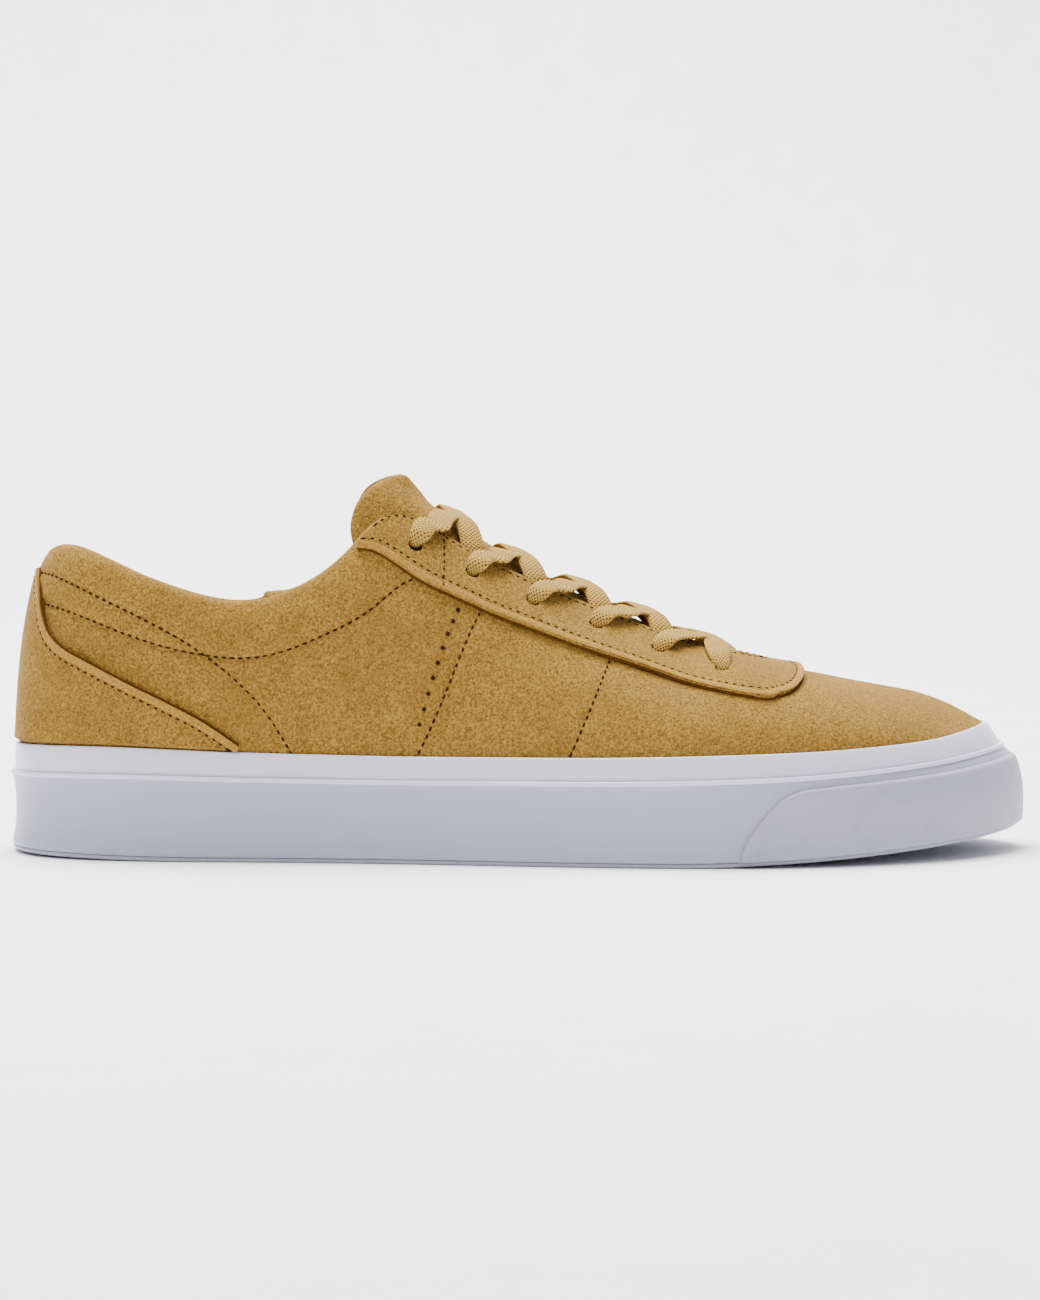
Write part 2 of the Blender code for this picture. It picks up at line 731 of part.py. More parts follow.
def build_upper(material):
    """The hollow suede wall, open at the collar, throat and underneath."""
    outer, rim, inner = upper_grid()
    points = []
    index = {}

    def vertex(layer, row, col, position):
        col = col % COUNT
        mirrored = COUNT - col
        shared = (layer == "outer" and row == len(OUTER_RISES) - 1) or (layer == "inner" and row == 0)
        if shared and col > HALF and mirrored >= THROAT_INDEX:
            col = mirrored
        if layer == "rim" and col == COUNT - THROAT_INDEX:
            col = THROAT_INDEX
        key = (layer, row, col)
        if key not in index:
            index[key] = len(points)
            points.append(position(layer, row, col))
        return index[key]

    def position(layer, row, col):
        return {"outer": outer, "rim": rim, "inner": inner}[layer][row, col]

    faces = []

    def quad(a, b, c, d):
        ring = [vertex(*corner, position) for corner in (a, b, c, d)]
        ring = [v for k, v in enumerate(ring) if v not in ring[:k]]
        if len(ring) > 2:
            faces.append(tuple(ring))

    open_columns = list(range(0, THROAT_INDEX)) + list(range(COUNT - THROAT_INDEX, COUNT))
    last = len(OUTER_RISES) - 1
    for c in range(COUNT):
        for r in range(last):
            quad(("outer", r, c), ("outer", r, c + 1), ("outer", r + 1, c + 1), ("outer", r + 1, c))
        for r in range(len(INNER_RISES) - 1):
            quad(("inner", r, c), ("inner", r, c + 1), ("inner", r + 1, c + 1), ("inner", r + 1, c))
        bottom = len(INNER_RISES) - 1
        quad(("inner", bottom, c), ("inner", bottom, c + 1), ("outer", 0, c + 1), ("outer", 0, c))
    for c in open_columns:
        chain = [("outer", last)] + [("rim", k) for k in range(len(RIM_ANGLES))] + [("inner", 0)]
        for low, high in zip(chain, chain[1:]):
            quad((*low, c), (*low, c + 1), (*high, c + 1), (*high, c))
    return make_object("upper", points, faces, material)


def along_edge(table_names, table, share):
    """Return station and rise at a share along a table of edge points."""
    stations = column(table_names, table, "station")
    rises = column(table_names, table, "rise")
    place = np.asarray(share) * (len(table) - 1)
    low = np.clip(np.floor(place).astype(int), 0, len(table) - 2)
    after = place - low

    def smooth(values):
        padded = np.concatenate([[2 * values[0] - values[1]], values, [2 * values[-1] - values[-2]]])
        a, b, c, d = (padded[low + k] for k in range(4))
        bent = (2 * a - 5 * b + 4 * c - d) * after**2 + (3 * b - a - 3 * c + d) * after**3
        return 0.5 * (2 * b + (c - a) * after + bent)

    return smooth(stations), smooth(rises)


EYESTAY_STEPS = 28
EYESTAY_ROWS = (0.0, 0.33, 0.66, 1.0)


def eyestay_grid(offset):
    """Return a grid of points over the facing at a distance from the upper."""
    share = np.linspace(0.0, 1.0, EYESTAY_STEPS + 1)
    edge_station, edge_rise = along_edge(EYESTAY_COLUMNS, EYESTAY_EDGE, share)
    turn = np.clip((share - 0.72) / 0.28, 0.0, 1.0)
    straight_x = TOP_X(6.75) + (THROAT_FRONT - THROAT_RADIUS - TOP_X(6.75)) * np.clip(share / 0.72, 0.0, 1.0)
    throat_x = straight_x + THROAT_RADIUS * np.sin(turn * math.pi / 2)
    throat_station = np.array([station_at(x) for x in throat_x])
    rows = np.array(EYESTAY_ROWS)[:, None]
    station = throat_station * (1 - rows) + edge_station * rows
    rise = 1.0 * (1 - rows) + edge_rise * rows
    station = np.concatenate([station, ROUND - station[:, -2::-1]], axis=1)
    rise = np.concatenate([rise, rise[:, -2::-1]], axis=1)
    return upper_offset(station, rise, np.full(station.shape, offset))


def build_eyestay(material):
    """The U-shaped facing with its punched eyelets."""
    outer = eyestay_grid(SEAT + EYESTAY_WALL)[::-1]
    inner = eyestay_grid(SEAT)[::-1]
    return patch_solid("eyestay", outer, inner, material)


COUNTER_STEPS = 14


def build_counter(material):
    """The suede counter at the back, with its strip up the back seam."""
    share = np.linspace(0.0, 1.0, COUNTER_STEPS + 1)
    station, rise = along_edge(COUNTER_COLUMNS, COUNTER_EDGE, share)
    station = np.concatenate([-station[:0:-1], station])
    rise = np.concatenate([rise[:0:-1], rise])
    low = 0.012
    rows = np.array([0.0, 0.33, 0.66, 1.0])[:, None]
    rises = low + (rise - low) * rows
    stations = np.broadcast_to(station, rises.shape)
    outer = upper_offset(stations, rises, np.full(rises.shape, SEAT + COUNTER_WALL))
    inner = upper_offset(stations, rises, np.full(rises.shape, SEAT))
    return patch_solid("heel_counter", outer, inner, material)


def punch_eyelets(bodies):
    """Punch the eyelets through the facing and the wall behind it."""
    points, faces = [], []
    sides = EYELET_SIDES
    for lateral, rise in EYELETS:
        for station in (lateral, ROUND - lateral):
            centre = upper_face(station, rise)
            normal = upper_normal(station, rise)
            across = unit(np.cross(normal, np.array([1.0, 0.0, 0.0])))
            along = np.cross(across, normal)
            start = len(points)
            for reach in (-2.2 * WALL, 2.2 * WALL):
                for k in range(sides):
                    angle = 2 * math.pi * (k + 0.5) / sides
                    spoke = along * math.cos(angle) + across * math.sin(angle)
                    points.append(centre + normal * reach + spoke * EYELET_DIAMETER / 2)
            low = list(range(start, start + sides))
            high = list(range(start + sides, start + 2 * sides))
            faces.append(tuple(reversed(low)))
            faces.append(tuple(high))
            for k in range(sides):
                n = (k + 1) % sides
                faces.append((low[k], low[n], high[n], high[k]))
    cutter = make_object("eyelet_punch", points, faces, make_material("punch steel", 0.5, 0.5, 0.5, 0.4))
    cutter.hide_render = True
    cutter.display_type = "WIRE"
    for body in bodies:
        cut = body.modifiers.new("eyelets", "BOOLEAN")
        cut.object = cutter
        cut.operation = "DIFFERENCE"
        cut.solver = "EXACT"
    return cutter


def throat_arch(station, share):
    """Return a point over the open throat, share 0 at the lateral edge, 1 at the medial."""
    station = np.asarray(station, dtype=float)
    share = np.asarray(share, dtype=float)[..., None]
    near, far = upper_face(station, 1.0), upper_face(ROUND - station, 1.0)
    span = np.linalg.norm(far - near, axis=-1)[..., None]
    near_turn = near + arrival(station) * span * 0.36
    far_turn = far + arrival(ROUND - station) * span * 0.36
    left = 1.0 - share
    return near * left**3 + 3 * near_turn * left**2 * share + 3 * far_turn * left * share**2 + far * share**3


def throat_arch_offset(station, share, offset):
    """Return a point at a distance above the arch over the throat."""
    step = 0.02
    across = throat_arch(station, share + step) - throat_arch(station, share - step)
    along = throat_arch(station + step, share) - throat_arch(station - step, share)
    normal = unit(np.cross(along, across))
    return throat_arch(station, share) + normal * np.asarray(offset)[..., None], normal


BAND_SECTION = ((-0.5, 0.0), (-0.38, 0.5), (0.38, 0.5), (0.5, 0.0), (0.38, -0.5), (-0.38, -0.5))


def band_solid(path, normals, width, height):
    """Return the points and faces of a flat band along a path."""
    points, faces = [], []
    count = len(path)
    for k in range(count):
        ahead = path[min(k + 1, count - 1)] - path[max(k - 1, 0)]
        side = unit(np.cross(normals[k], ahead))
        up = unit(np.cross(ahead, side))
        for a, b in BAND_SECTION:
            points.append(path[k] + side * a * width + up * b * height)
    sides = len(BAND_SECTION)
    for k in range(count - 1):
        for s in range(sides):
            a, b = k * sides + s, k * sides + (s + 1) % sides
            faces.append((a, b, b + sides))
            faces.append((a, b + sides, a + sides))
    faces.append(tuple(reversed(range(sides))))
    faces.append(tuple(range((count - 1) * sides, count * sides)))
    return points, [tuple(reversed(face)) for face in faces]


def lace_path(start, rise, end, from_medial, over_tongue):
    """Return a band's path from an eyelet over the throat towards the next row."""
    ride = SEAT + EYESTAY_WALL + LACE_SEAT + LACE_THICKNESS / 2
    path, normals = [], []
    for share in (-0.25, 0.4, 1.0):
        station = start + LACE_SLANT[0] * (end - start) * max(share, 0.0)
        place = ROUND - station if from_medial else station
        height = rise + (1.0 - rise) * share
        normal = upper_normal(place, height)
        path.append(upper_face(place, height) + normal * ride)
        normals.append(normal)
    for share in (0.15, 0.38, 0.62, 0.88):
        station = start + (end - start) * (LACE_SLANT[0] + (LACE_SLANT[1] - LACE_SLANT[0]) * share)
        middle = LACE_LIFT[from_medial] + over_tongue
        lift = ride + (middle - ride) * smooth_step(0.0, 0.5, share)
        lift = lift - 0.7 * smooth_step(0.6, 0.9, share)
        across = 1.0 - share if from_medial else share
        point, normal = throat_arch_offset(np.array(station), np.array(across), np.array(lift))
        path.append(point)
        normals.append(normal)
    return path, normals


def build_lace(material):
    """The crossings of the flat lace and the bar at its lowest eyelets."""
    bodies = []
    for k in range(len(EYELETS) - 1):
        pieces = []
        for from_medial in (False, True):
            over_tongue = TOP_LIFT if k == 0 else 0.0
            path, normals = lace_path(*EYELETS[k], EYELETS[k + 1][0], from_medial, over_tongue)
            points, faces = band_solid(path, normals, LACE_WIDTH, LACE_THICKNESS)
            name = f"lace_crossing_{k + 1}" if not from_medial else f"lace_return_{k + 1}"
            pieces.append(make_object(name, points, faces, material))
        main, other = pieces
        join = main.modifiers.new("crossing", "BOOLEAN")
        join.object = other
        join.operation = "UNION"
        join.solver = "EXACT"
        other.hide_render = True
        other.display_type = "WIRE"
        bodies.append(main)
    station, rise = EYELETS[-1]
    ride = SEAT + EYESTAY_WALL + LACE_SEAT + LACE_THICKNESS / 2
    path, normals = [], []
    for share in (-0.25, 0.4, 1.0):
        height = rise + (1.0 - rise) * share
        normals.append(upper_normal(station, height))
        path.append(upper_face(station, height) + normals[-1] * ride)
    for share in (0.2, 0.5, 0.8):
        point, normal = throat_arch_offset(np.array(station), np.array(share), np.array(ride))
        path.append(point)
        normals.append(normal)
    for share in (1.0, 0.4, -0.25):
        height = rise + (1.0 - rise) * share
        normals.append(upper_normal(ROUND - station, height))
        path.append(upper_face(ROUND - station, height) + normals[-1] * ride)
    points, faces = band_solid(path, normals, LACE_WIDTH, LACE_THICKNESS)
    bodies.append(make_object("lace_bar", points, faces, material))
    return bodies


TONGUE_POINTS = 13


def tongue_section(station):
    """Return the top face of the tongue across the shoe under one station."""
    rise_low = 1.0 - TONGUE_WRAP / 60.0
    rises = np.linspace(rise_low, 1.0, 5)
    below = -(WALL + TONGUE_SEAT)
    pads = COLLAR_PAD * PAD(station)
    near = upper_offset(np.full(5, station), rises, np.full(5, below - pads))
    far = upper_offset(np.full(5, ROUND - station), rises, np.full(5, below - pads))
    line = [near]
    if station < THROAT_STATION:
        shares = np.array([0.15, 0.3, 0.5, 0.7, 0.85])
        arch, _ = throat_arch_offset(np.full(5, station), shares, np.full(5, below))
        line.append(arch)
    line.append(far[::-1])
    line = np.concatenate(line)
    gaps = np.linalg.norm(np.diff(line, axis=0), axis=1)
    keep = np.concatenate([[True], gaps > 0.05])
    line = line[keep]
    run = np.concatenate([[0.0], np.cumsum(np.linalg.norm(np.diff(line, axis=0), axis=1))])
    wanted = np.linspace(0.0, run[-1], TONGUE_POINTS)
    return np.stack([np.interp(wanted, run, line[:, k]) for k in range(3)], axis=-1)


def build_tongue(material):
    """The padded tongue, from under the vamp up past the facing."""
    fronts = [THROAT_STATION + 0.25, THROAT_STATION - 0.1, 11.0, 10.4, 9.8, 9.2, 8.6, 8.1, 7.75]
    sections = [tongue_section(s) for s in fronts]
    last = sections[-1]
    centre = last[:, 1].mean()
    side = np.abs(np.linspace(-1.0, 1.0, TONGUE_POINTS))
    angle = math.radians(TONGUE_ANGLE)
    for share in (0.3, 0.6, 0.85, 1.0):
        reach = TONGUE_RISE * share
        moved = last.copy()
        moved[:, 0] -= reach * math.cos(angle) + TONGUE_SWEEP * share * side
        moved[:, 1] = centre + (moved[:, 1] - centre) * (1.0 - TONGUE_TAPER * share)
        moved[:, 2] += reach * math.sin(angle) - TONGUE_DROOP * share * side**2
        sections.append(moved)
    top = np.array(sections)
    ahead = np.gradient(top, axis=0)
    across = np.gradient(top, axis=1)
    normal = unit(np.cross(across, ahead))
    swelling = np.interp(np.arange(len(top)), [0, 1, 8, len(top) - 2, len(top) - 1], [0.5, 0.8, 1.0, 1.0, 0.35])
    edge = np.interp(np.linspace(-1, 1, TONGUE_POINTS), [-1, -0.85, 0.85, 1], [0.4, 1, 1, 0.4])
    depth = TONGUE_THICKNESS * swelling[:, None] * edge[None, :]
    if normal[..., 2].mean() < 0:
        normal = -normal
    bottom = top - normal * depth[..., None]
    return patch_solid("tongue", top, bottom, material)


def main():
    """Clear the scene and build the shoe."""
    for item in list(bpy.data.objects):
        bpy.data.objects.remove(item, do_unlink=True)
    suede = make_material("tan suede", 0.45, 0.28, 0.09, 0.95)
    padding = make_material("padded suede", 0.42, 0.26, 0.09, 0.95)
    cotton = make_material("pale cotton lace", 0.60, 0.42, 0.16, 0.9)
    rubber = make_material("white rubber", 0.72, 0.72, 0.80, 0.45)
    foam = make_material("insole foam", 0.55, 0.45, 0.25, 0.9)
    build_outsole(rubber)
    build_midsole(foam)
    build_insole(foam)
    build_foxing(rubber)
    build_foxing_strip(rubber)
    build_bumper(rubber)
    upper = build_upper(suede)
    facing = build_eyestay(suede)
    build_counter(suede)
    punch_eyelets([upper, facing])
    build_tongue(padding)
    build_lace(cotton)


main()
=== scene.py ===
"""Looks of a tan suede skateboarding shoe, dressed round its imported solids.

The shoe stands empty and laced flat on a pale studio floor. The shape of every soft
piece comes from one set of lines, the last, in millimetres. A station runs once round
the shoe: 0 at the back of the heel, 16 at the toe by the lateral side and 32 at the
heel again by the medial side. A rise climbs the upper: -1 at its lasted foot, 0 at the
top of the foxing and 1 at the collar, at the throat edge or on the ridge of the vamp.
"""

from __future__ import annotations

import logging
import math
from dataclasses import dataclass, field
from enum import Enum
from typing import Any, Sequence

import bpy
import numpy as np
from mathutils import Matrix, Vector
from mathutils.kdtree import KDTree

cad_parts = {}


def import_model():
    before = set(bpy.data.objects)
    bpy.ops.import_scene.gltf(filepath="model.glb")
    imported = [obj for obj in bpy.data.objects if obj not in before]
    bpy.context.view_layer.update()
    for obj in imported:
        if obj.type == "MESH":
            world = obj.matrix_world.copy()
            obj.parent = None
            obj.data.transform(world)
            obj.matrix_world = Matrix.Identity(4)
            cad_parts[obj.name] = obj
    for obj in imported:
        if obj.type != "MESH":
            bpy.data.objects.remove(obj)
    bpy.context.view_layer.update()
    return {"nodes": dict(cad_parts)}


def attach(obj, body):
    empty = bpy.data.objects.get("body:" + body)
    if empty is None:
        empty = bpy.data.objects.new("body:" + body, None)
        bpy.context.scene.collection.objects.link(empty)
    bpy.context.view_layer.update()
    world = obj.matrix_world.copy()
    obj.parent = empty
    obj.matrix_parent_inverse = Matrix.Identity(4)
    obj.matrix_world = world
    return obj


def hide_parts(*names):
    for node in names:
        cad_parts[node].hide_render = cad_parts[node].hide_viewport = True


LOG = logging.getLogger("shoe")
MM = 0.001

# One row for each station from the heel to the toe, as shares of length and widths
SECTION_COLUMNS = (
    "along", "lateral", "medial", "top_along", "top_half", "by_heel", "by_instep", "drop"
)
SECTIONS = (
    (0.000, 0.000, 0.000, 0.039, 0.000, 0.990, 0.000, 0.0),
    (0.012, -0.219, 0.212, 0.053, 0.106, 1.004, 0.000, 0.5),
    (0.052, -0.384, 0.371, 0.088, 0.198, 0.975, 0.000, 1.1),
    (0.124, -0.483, 0.457, 0.147, 0.263, 0.893, 0.000, 1.1),
    (0.214, -0.517, 0.470, 0.221, 0.290, 0.827, 0.000, 0.7),
    (0.295, -0.540, 0.453, 0.288, 0.286, 0.870, 0.000, 0.3),
    (0.362, -0.541, 0.425, 0.340, 0.253, 0.495, 0.450, 0.0),
    (0.422, -0.519, 0.400, 0.378, 0.198, 0.000, 0.992, 0.0),
    (0.489, -0.497, 0.385, 0.442, 0.157, 0.000, 0.902, 0.0),
    (0.563, -0.490, 0.397, 0.529, 0.134, 0.000, 0.774, 0.0),
    (0.643, -0.507, 0.442, 0.616, 0.112, 0.000, 0.667, 0.0),
    (0.717, -0.505, 0.477, 0.703, 0.092, 0.000, 0.575, 0.0),
    (0.790, -0.473, 0.487, 0.780, 0.083, 0.000, 0.530, 0.0),
    (0.860, -0.404, 0.450, 0.827, 0.070, 0.000, 0.503, 0.0),
    (0.924, -0.295, 0.364, 0.862, 0.050, 0.000, 0.484, 0.0),
    (0.974, -0.143, 0.235, 0.886, 0.025, 0.000, 0.471, 0.0),
    (1.000, 0.046, 0.046, 0.894, 0.000, 0.000, 0.466, 0.0),
)

# How each section swells, as the angles at its ends and how far each of them reaches
SWELL_COLUMNS = ("leave", "arrive", "reach_low", "reach_high", "pad")
SWELLS = (
    (87, 70, 0.24, 0.36, 0.90),
    (87, 71, 0.25, 0.36, 0.95),
    (89, 73, 0.28, 0.35, 1.00),
    (91, 76, 0.32, 0.34, 1.00),
    (92, 76, 0.34, 0.34, 1.00),
    (91, 72, 0.34, 0.34, 0.95),
    (89, 66, 0.34, 0.34, 0.65),
    (87, 55, 0.34, 0.34, 0.20),
    (85, 46, 0.36, 0.34, 0.00),
    (83, 40, 0.36, 0.36, 0.00),
    (80, 33, 0.34, 0.38, 0.00),
    (77, 24, 0.30, 0.42, 0.00),
    (72, 0, 0.26, 0.48, 0.00),
    (64, 0, 0.26, 0.46, 0.00),
    (52, 0, 0.28, 0.42, 0.00),
    (38, 0, 0.32, 0.38, 0.00),
    (31, 0, 0.35, 0.35, 0.00),
)

# The foxing at each station, as shares of its height, of the strip and of the dish
FOXING_COLUMNS = ("height", "lean_bead", "lean_top", "strip", "dish")
FOXING_ROWS = (
    (0.976, 0.000, 0.036, 1.00, 1.0),
    (0.985, 0.002, 0.040, 1.00, 1.0),
    (0.995, 0.010, 0.052, 1.00, 1.0),
    (0.992, 0.018, 0.066, 0.97, 1.0),
    (0.960, 0.022, 0.076, 0.90, 1.0),
    (0.942, 0.024, 0.080, 0.87, 1.0),
    (0.932, 0.024, 0.082, 0.85, 1.0),
    (0.930, 0.024, 0.084, 0.84, 1.0),
    (0.933, 0.025, 0.086, 0.83, 1.0),
    (0.937, 0.028, 0.090, 0.83, 1.0),
    (0.950, 0.034, 0.100, 0.84, 1.0),
    (0.966, 0.044, 0.118, 0.84, 0.9),
    (0.984, 0.058, 0.145, 0.80, 0.6),
    (1.012, 0.078, 0.180, 0.74, 0.2),
    (1.052, 0.100, 0.225, 0.70, -0.2),
    (1.110, 0.122, 0.268, 0.72, -0.4),
    (1.142, 0.132, 0.288, 0.74, -0.4),
)

# Edges and seams of the lateral side, as station and rise
Line = Sequence[tuple[float, float]]
FACING_EDGE: Line = (
    (6.12, 0.995), (6.40, 0.920), (7.12, 0.712), (7.93, 0.652), (8.73, 0.640),
    (9.47, 0.612), (10.00, 0.578), (10.54, 0.525), (11.05, 0.440), (11.45, 0.410),
    (11.75, 0.500), (11.94, 0.700), (12.03, 1.000),
)
COUNTER_EDGE: Line = (
    (0.00, 0.930), (0.45, 0.920), (0.70, 0.870), (0.91, 0.808), (1.11, 0.737),
    (1.39, 0.649), (1.62, 0.595), (1.95, 0.545), (2.47, 0.485), (3.00, 0.403),
    (3.44, 0.316), (3.82, 0.211), (4.22, 0.050),
)
EYELETS: Line = (
    (7.21, 0.863), (8.00, 0.838), (8.71, 0.828), (9.43, 0.828), (10.13, 0.797), (10.87, 0.700),
)
COLLAR_SEAM: Line = (
    (0.70, 0.753), (2.09, 0.726), (3.05, 0.688), (3.80, 0.671), (4.43, 0.660),
    (5.28, 0.693), (6.25, 0.693), (7.12, 0.726),
)
QUARTER_SEAM: Line = (
    (0.53, 0.901), (2.29, 0.852), (3.25, 0.792), (3.85, 0.660), (4.38, 0.386), (4.85, 0.003),
)
BACK_PANEL_SEAM: Line = ((8.02, 0.671), (7.35, 0.337), (6.64, -0.025))
FRONT_PANEL_SEAM: Line = ((9.53, 0.638), (9.16, 0.304), (8.82, 0.014))
VENT_ARC: Line = ((7.62, 0.610), (7.28, 0.450), (6.98, 0.290), (6.74, 0.130))

# How the toe cap's upper edge climbs, as stations from its end and shares of its height
BUMPER_CLIMB: Line = (
    (0.00, 0.060), (0.06, 0.220), (0.12, 0.340), (0.18, 0.430), (0.29, 0.590), (0.41, 0.720),
    (0.52, 0.835), (0.64, 0.915), (0.76, 0.960), (0.89, 0.985), (1.30, 1.000),
)

TOE = len(SECTIONS) - 1
ROUND = 2 * TOE


def smooth_step(low: float, high: float, value: Any) -> np.ndarray:
    """Ease from 0 to 1 as the value goes from low to high."""
    share = np.clip((np.asarray(value, dtype=float) - low) / (high - low), 0.0, 1.0)
    return share * share * (3.0 - 2.0 * share)


def unit(vectors: np.ndarray) -> np.ndarray:
    """Return vectors scaled to a length of one."""
    return vectors / np.linalg.norm(vectors, axis=-1, keepdims=True)


def run_along(points: np.ndarray) -> np.ndarray:
    """Return how far each row of points lies along from the first row."""
    steps = np.linalg.norm(np.diff(points, axis=0), axis=-1)
    return np.concatenate([np.zeros((1, *steps.shape[1:])), np.cumsum(steps, axis=0)])


def spline(points: np.ndarray, places: np.ndarray) -> np.ndarray:
    """Return places on a smooth open curve through points.

    Args:
        points: Control points, one a row.
        places: Numbers from 0, the first point, to 1, the last.

    Returns:
        One point a row for each place.
    """
    points = np.asarray(points, dtype=float)
    count = len(points)
    place = np.asarray(places, dtype=float) * (count - 1)
    low = np.clip(np.floor(place).astype(int), 0, count - 2)
    after = (place - low)[:, None] if points.ndim == 2 else place - low
    ends = [2 * points[:1] - points[1:2], points, 2 * points[-1:] - points[-2:-1]]
    padded = np.concatenate(ends)
    a, b, c, d = (padded[low + k] for k in range(4))
    bent = (2 * a - 5 * b + 4 * c - d) * after**2 + (3 * b - a - 3 * c + d) * after**3
    return 0.5 * (2 * b + (c - a) * after + bent)


class Closed:
    """A smooth closed curve of numbers through evenly numbered rows."""

    def __init__(self, values: np.ndarray) -> None:
        """Solve the bends of the curve once."""
        self.values = np.asarray(values, dtype=float)
        count = len(self.values)
        matrix = 4.0 * np.eye(count)
        matrix += np.roll(np.eye(count), 1, axis=0) + np.roll(np.eye(count), -1, axis=0)
        second = np.roll(self.values, 1) - 2.0 * self.values + np.roll(self.values, -1)
        self.bend = np.linalg.solve(matrix, 6.0 * second)

    def __call__(self, station: Any) -> np.ndarray:
        """Return the value at a station, or at each of several."""
        station = np.asarray(station, dtype=float)
        low = np.floor(station).astype(int)
        after = station - low
        before = 1.0 - after
        count = len(self.values)
        low = low % count
        high = (low + 1) % count
        value = before * self.values[low] + after * self.values[high]
        bent = (before**3 - before) * self.bend[low] + (after**3 - after) * self.bend[high]
        return value + bent / 6.0


@dataclass
class Last:
    """The lines of the shoe, from which every piece takes its shape. Sizes are in mm."""

    shoe_length: float = 300.0
    ball_width: float = 108.5
    heel_width: float = 75.5
    heel_height: float = 91.0
    instep_height: float = 100.0
    toe_spring: float = 7.2
    heel_rocker: float = 1.1
    foxing_height: float = 32.7
    strip_height: float = 7.8
    foxing_depth: float = 4.3
    strip_wall: float = 0.9
    midsole_heel: float = 16.0
    midsole_toe: float = 12.0
    bumper_out: float = 1.3
    wall: float = 2.2
    collar_pad: float = 5.6
    pad_start: float = 0.42
    throat_front: float = 72.0
    throat_radius: float = 9.0
    medial_drop: float = 3.0
    gap: float = 0.3
    curves: dict[str, Closed] = field(default_factory=dict)

    def __post_init__(self) -> None:
        """Turn the tables into curves round the shoe."""
        self.sole_length = self.shoe_length - self.bumper_out
        sections = {n: np.array([r[k] for r in SECTIONS]) for k, n in enumerate(SECTION_COLUMNS)}
        width = self.heel_width + (self.ball_width - self.heel_width) * smooth_step(
            0.30, 0.60, sections["along"]
        )
        lateral, medial = sections["lateral"] * width, sections["medial"] * width
        start = -self.shoe_length / 2
        across = self.closed(lateral, medial)
        trial = across(np.linspace(0, ROUND, 640))
        middle = (trial.min() + trial.max()) / 2
        self.toe_side = lateral[-1] - middle
        half = sections["top_half"] * self.ball_width
        self.curves = {
            "x": self.closed(sections["along"] * self.sole_length + start),
            "y": self.closed(lateral - middle, medial - middle),
            "top_x": self.closed(sections["top_along"] * self.sole_length + start),
            "top_side": self.closed(-half, half),
        }
        for name in ("by_heel", "by_instep", "drop"):
            self.curves[name] = self.closed(sections[name])
        for names, rows in ((SWELL_COLUMNS, SWELLS), (FOXING_COLUMNS, FOXING_ROWS)):
            for k, name in enumerate(names):
                self.curves[name] = self.closed(np.array([float(row[k]) for row in rows]))
        self.throat_station = self.station_at(self.throat_front)

    @staticmethod
    def closed(lateral: np.ndarray, medial: np.ndarray | None = None) -> Closed:
        """Return a curve for a full trip round the shoe from the rows of its sides."""
        medial = lateral if medial is None else medial
        return Closed(np.concatenate([lateral, medial[1:-1][::-1]]))

    def station_at(self, x: float) -> float:
        """Return the lateral station whose section tops out at x."""
        low, high = 6.5, float(TOE)
        for _ in range(50):
            middle = (low + high) / 2
            if float(self.curves["top_x"](middle)) < x:
                low = middle
            else:
                high = middle
        return (low + high) / 2

    def outline(self, station: Any, inset: Any) -> tuple[np.ndarray, np.ndarray]:
        """Return x and y of the sole's outline, moved inwards by the inset."""
        station = np.asarray(station, dtype=float)
        step = 0.02
        line_x, line_y = self.curves["x"], self.curves["y"]
        run = line_x(station + step) - line_x(station - step)
        rise = line_y(station + step) - line_y(station - step)
        length = np.hypot(run, rise)
        return line_x(station) - rise / length * inset, line_y(station) + run / length * inset

    def floor_gap(self, x: Any) -> np.ndarray:
        """Return the height of the sole's underside above the floor."""
        half = self.shoe_length / 2
        toe = np.clip((np.asarray(x) - 0.30 * half) / (0.70 * half), 0.0, None)
        heel = np.clip((-0.62 * half - np.asarray(x)) / (0.38 * half), 0.0, None)
        return self.toe_spring * toe**1.6 + self.heel_rocker * heel**1.4

    def midsole_top(self, x: Any) -> np.ndarray:
        """Return the height of the midsole's upper face."""
        forward = smooth_step(-0.35 * self.shoe_length, 0.25 * self.shoe_length, x)
        return self.floor_gap(x) + self.midsole_heel + (self.midsole_toe - self.midsole_heel) * forward

    def foxing_top(self, station: Any) -> np.ndarray:
        """Return the height of the foxing's top edge."""
        return self.curves["height"](station) * self.foxing_height

    def bead_top(self, station: Any) -> np.ndarray:
        """Return the height of the bead between the two bands of the foxing."""
        return self.foxing_top(station) - self.curves["strip"](station) * self.strip_height

    def lean(self, name: str, station: Any) -> np.ndarray:
        """Return how far the foxing leans in at its bead or at its top."""
        return self.curves[name](station) * self.foxing_height

    def feather_inset(self, station: Any) -> np.ndarray:
        """Return how far inside the outline the upper leaves the foxing."""
        return self.lean("lean_top", station) + self.strip_wall + self.gap

    def foot_inset(self, station: Any, height: Any) -> np.ndarray:
        """Return the inset of the upper's outer face inside the foxing, at a height."""
        x, _ = self.outline(station, self.foxing_depth + self.gap)
        low = self.midsole_top(x)
        share = np.clip((height - low) / (self.foxing_top(station) - low), 0.0, None)
        base = self.foxing_depth + self.gap
        return base + (self.feather_inset(station) - base) * share

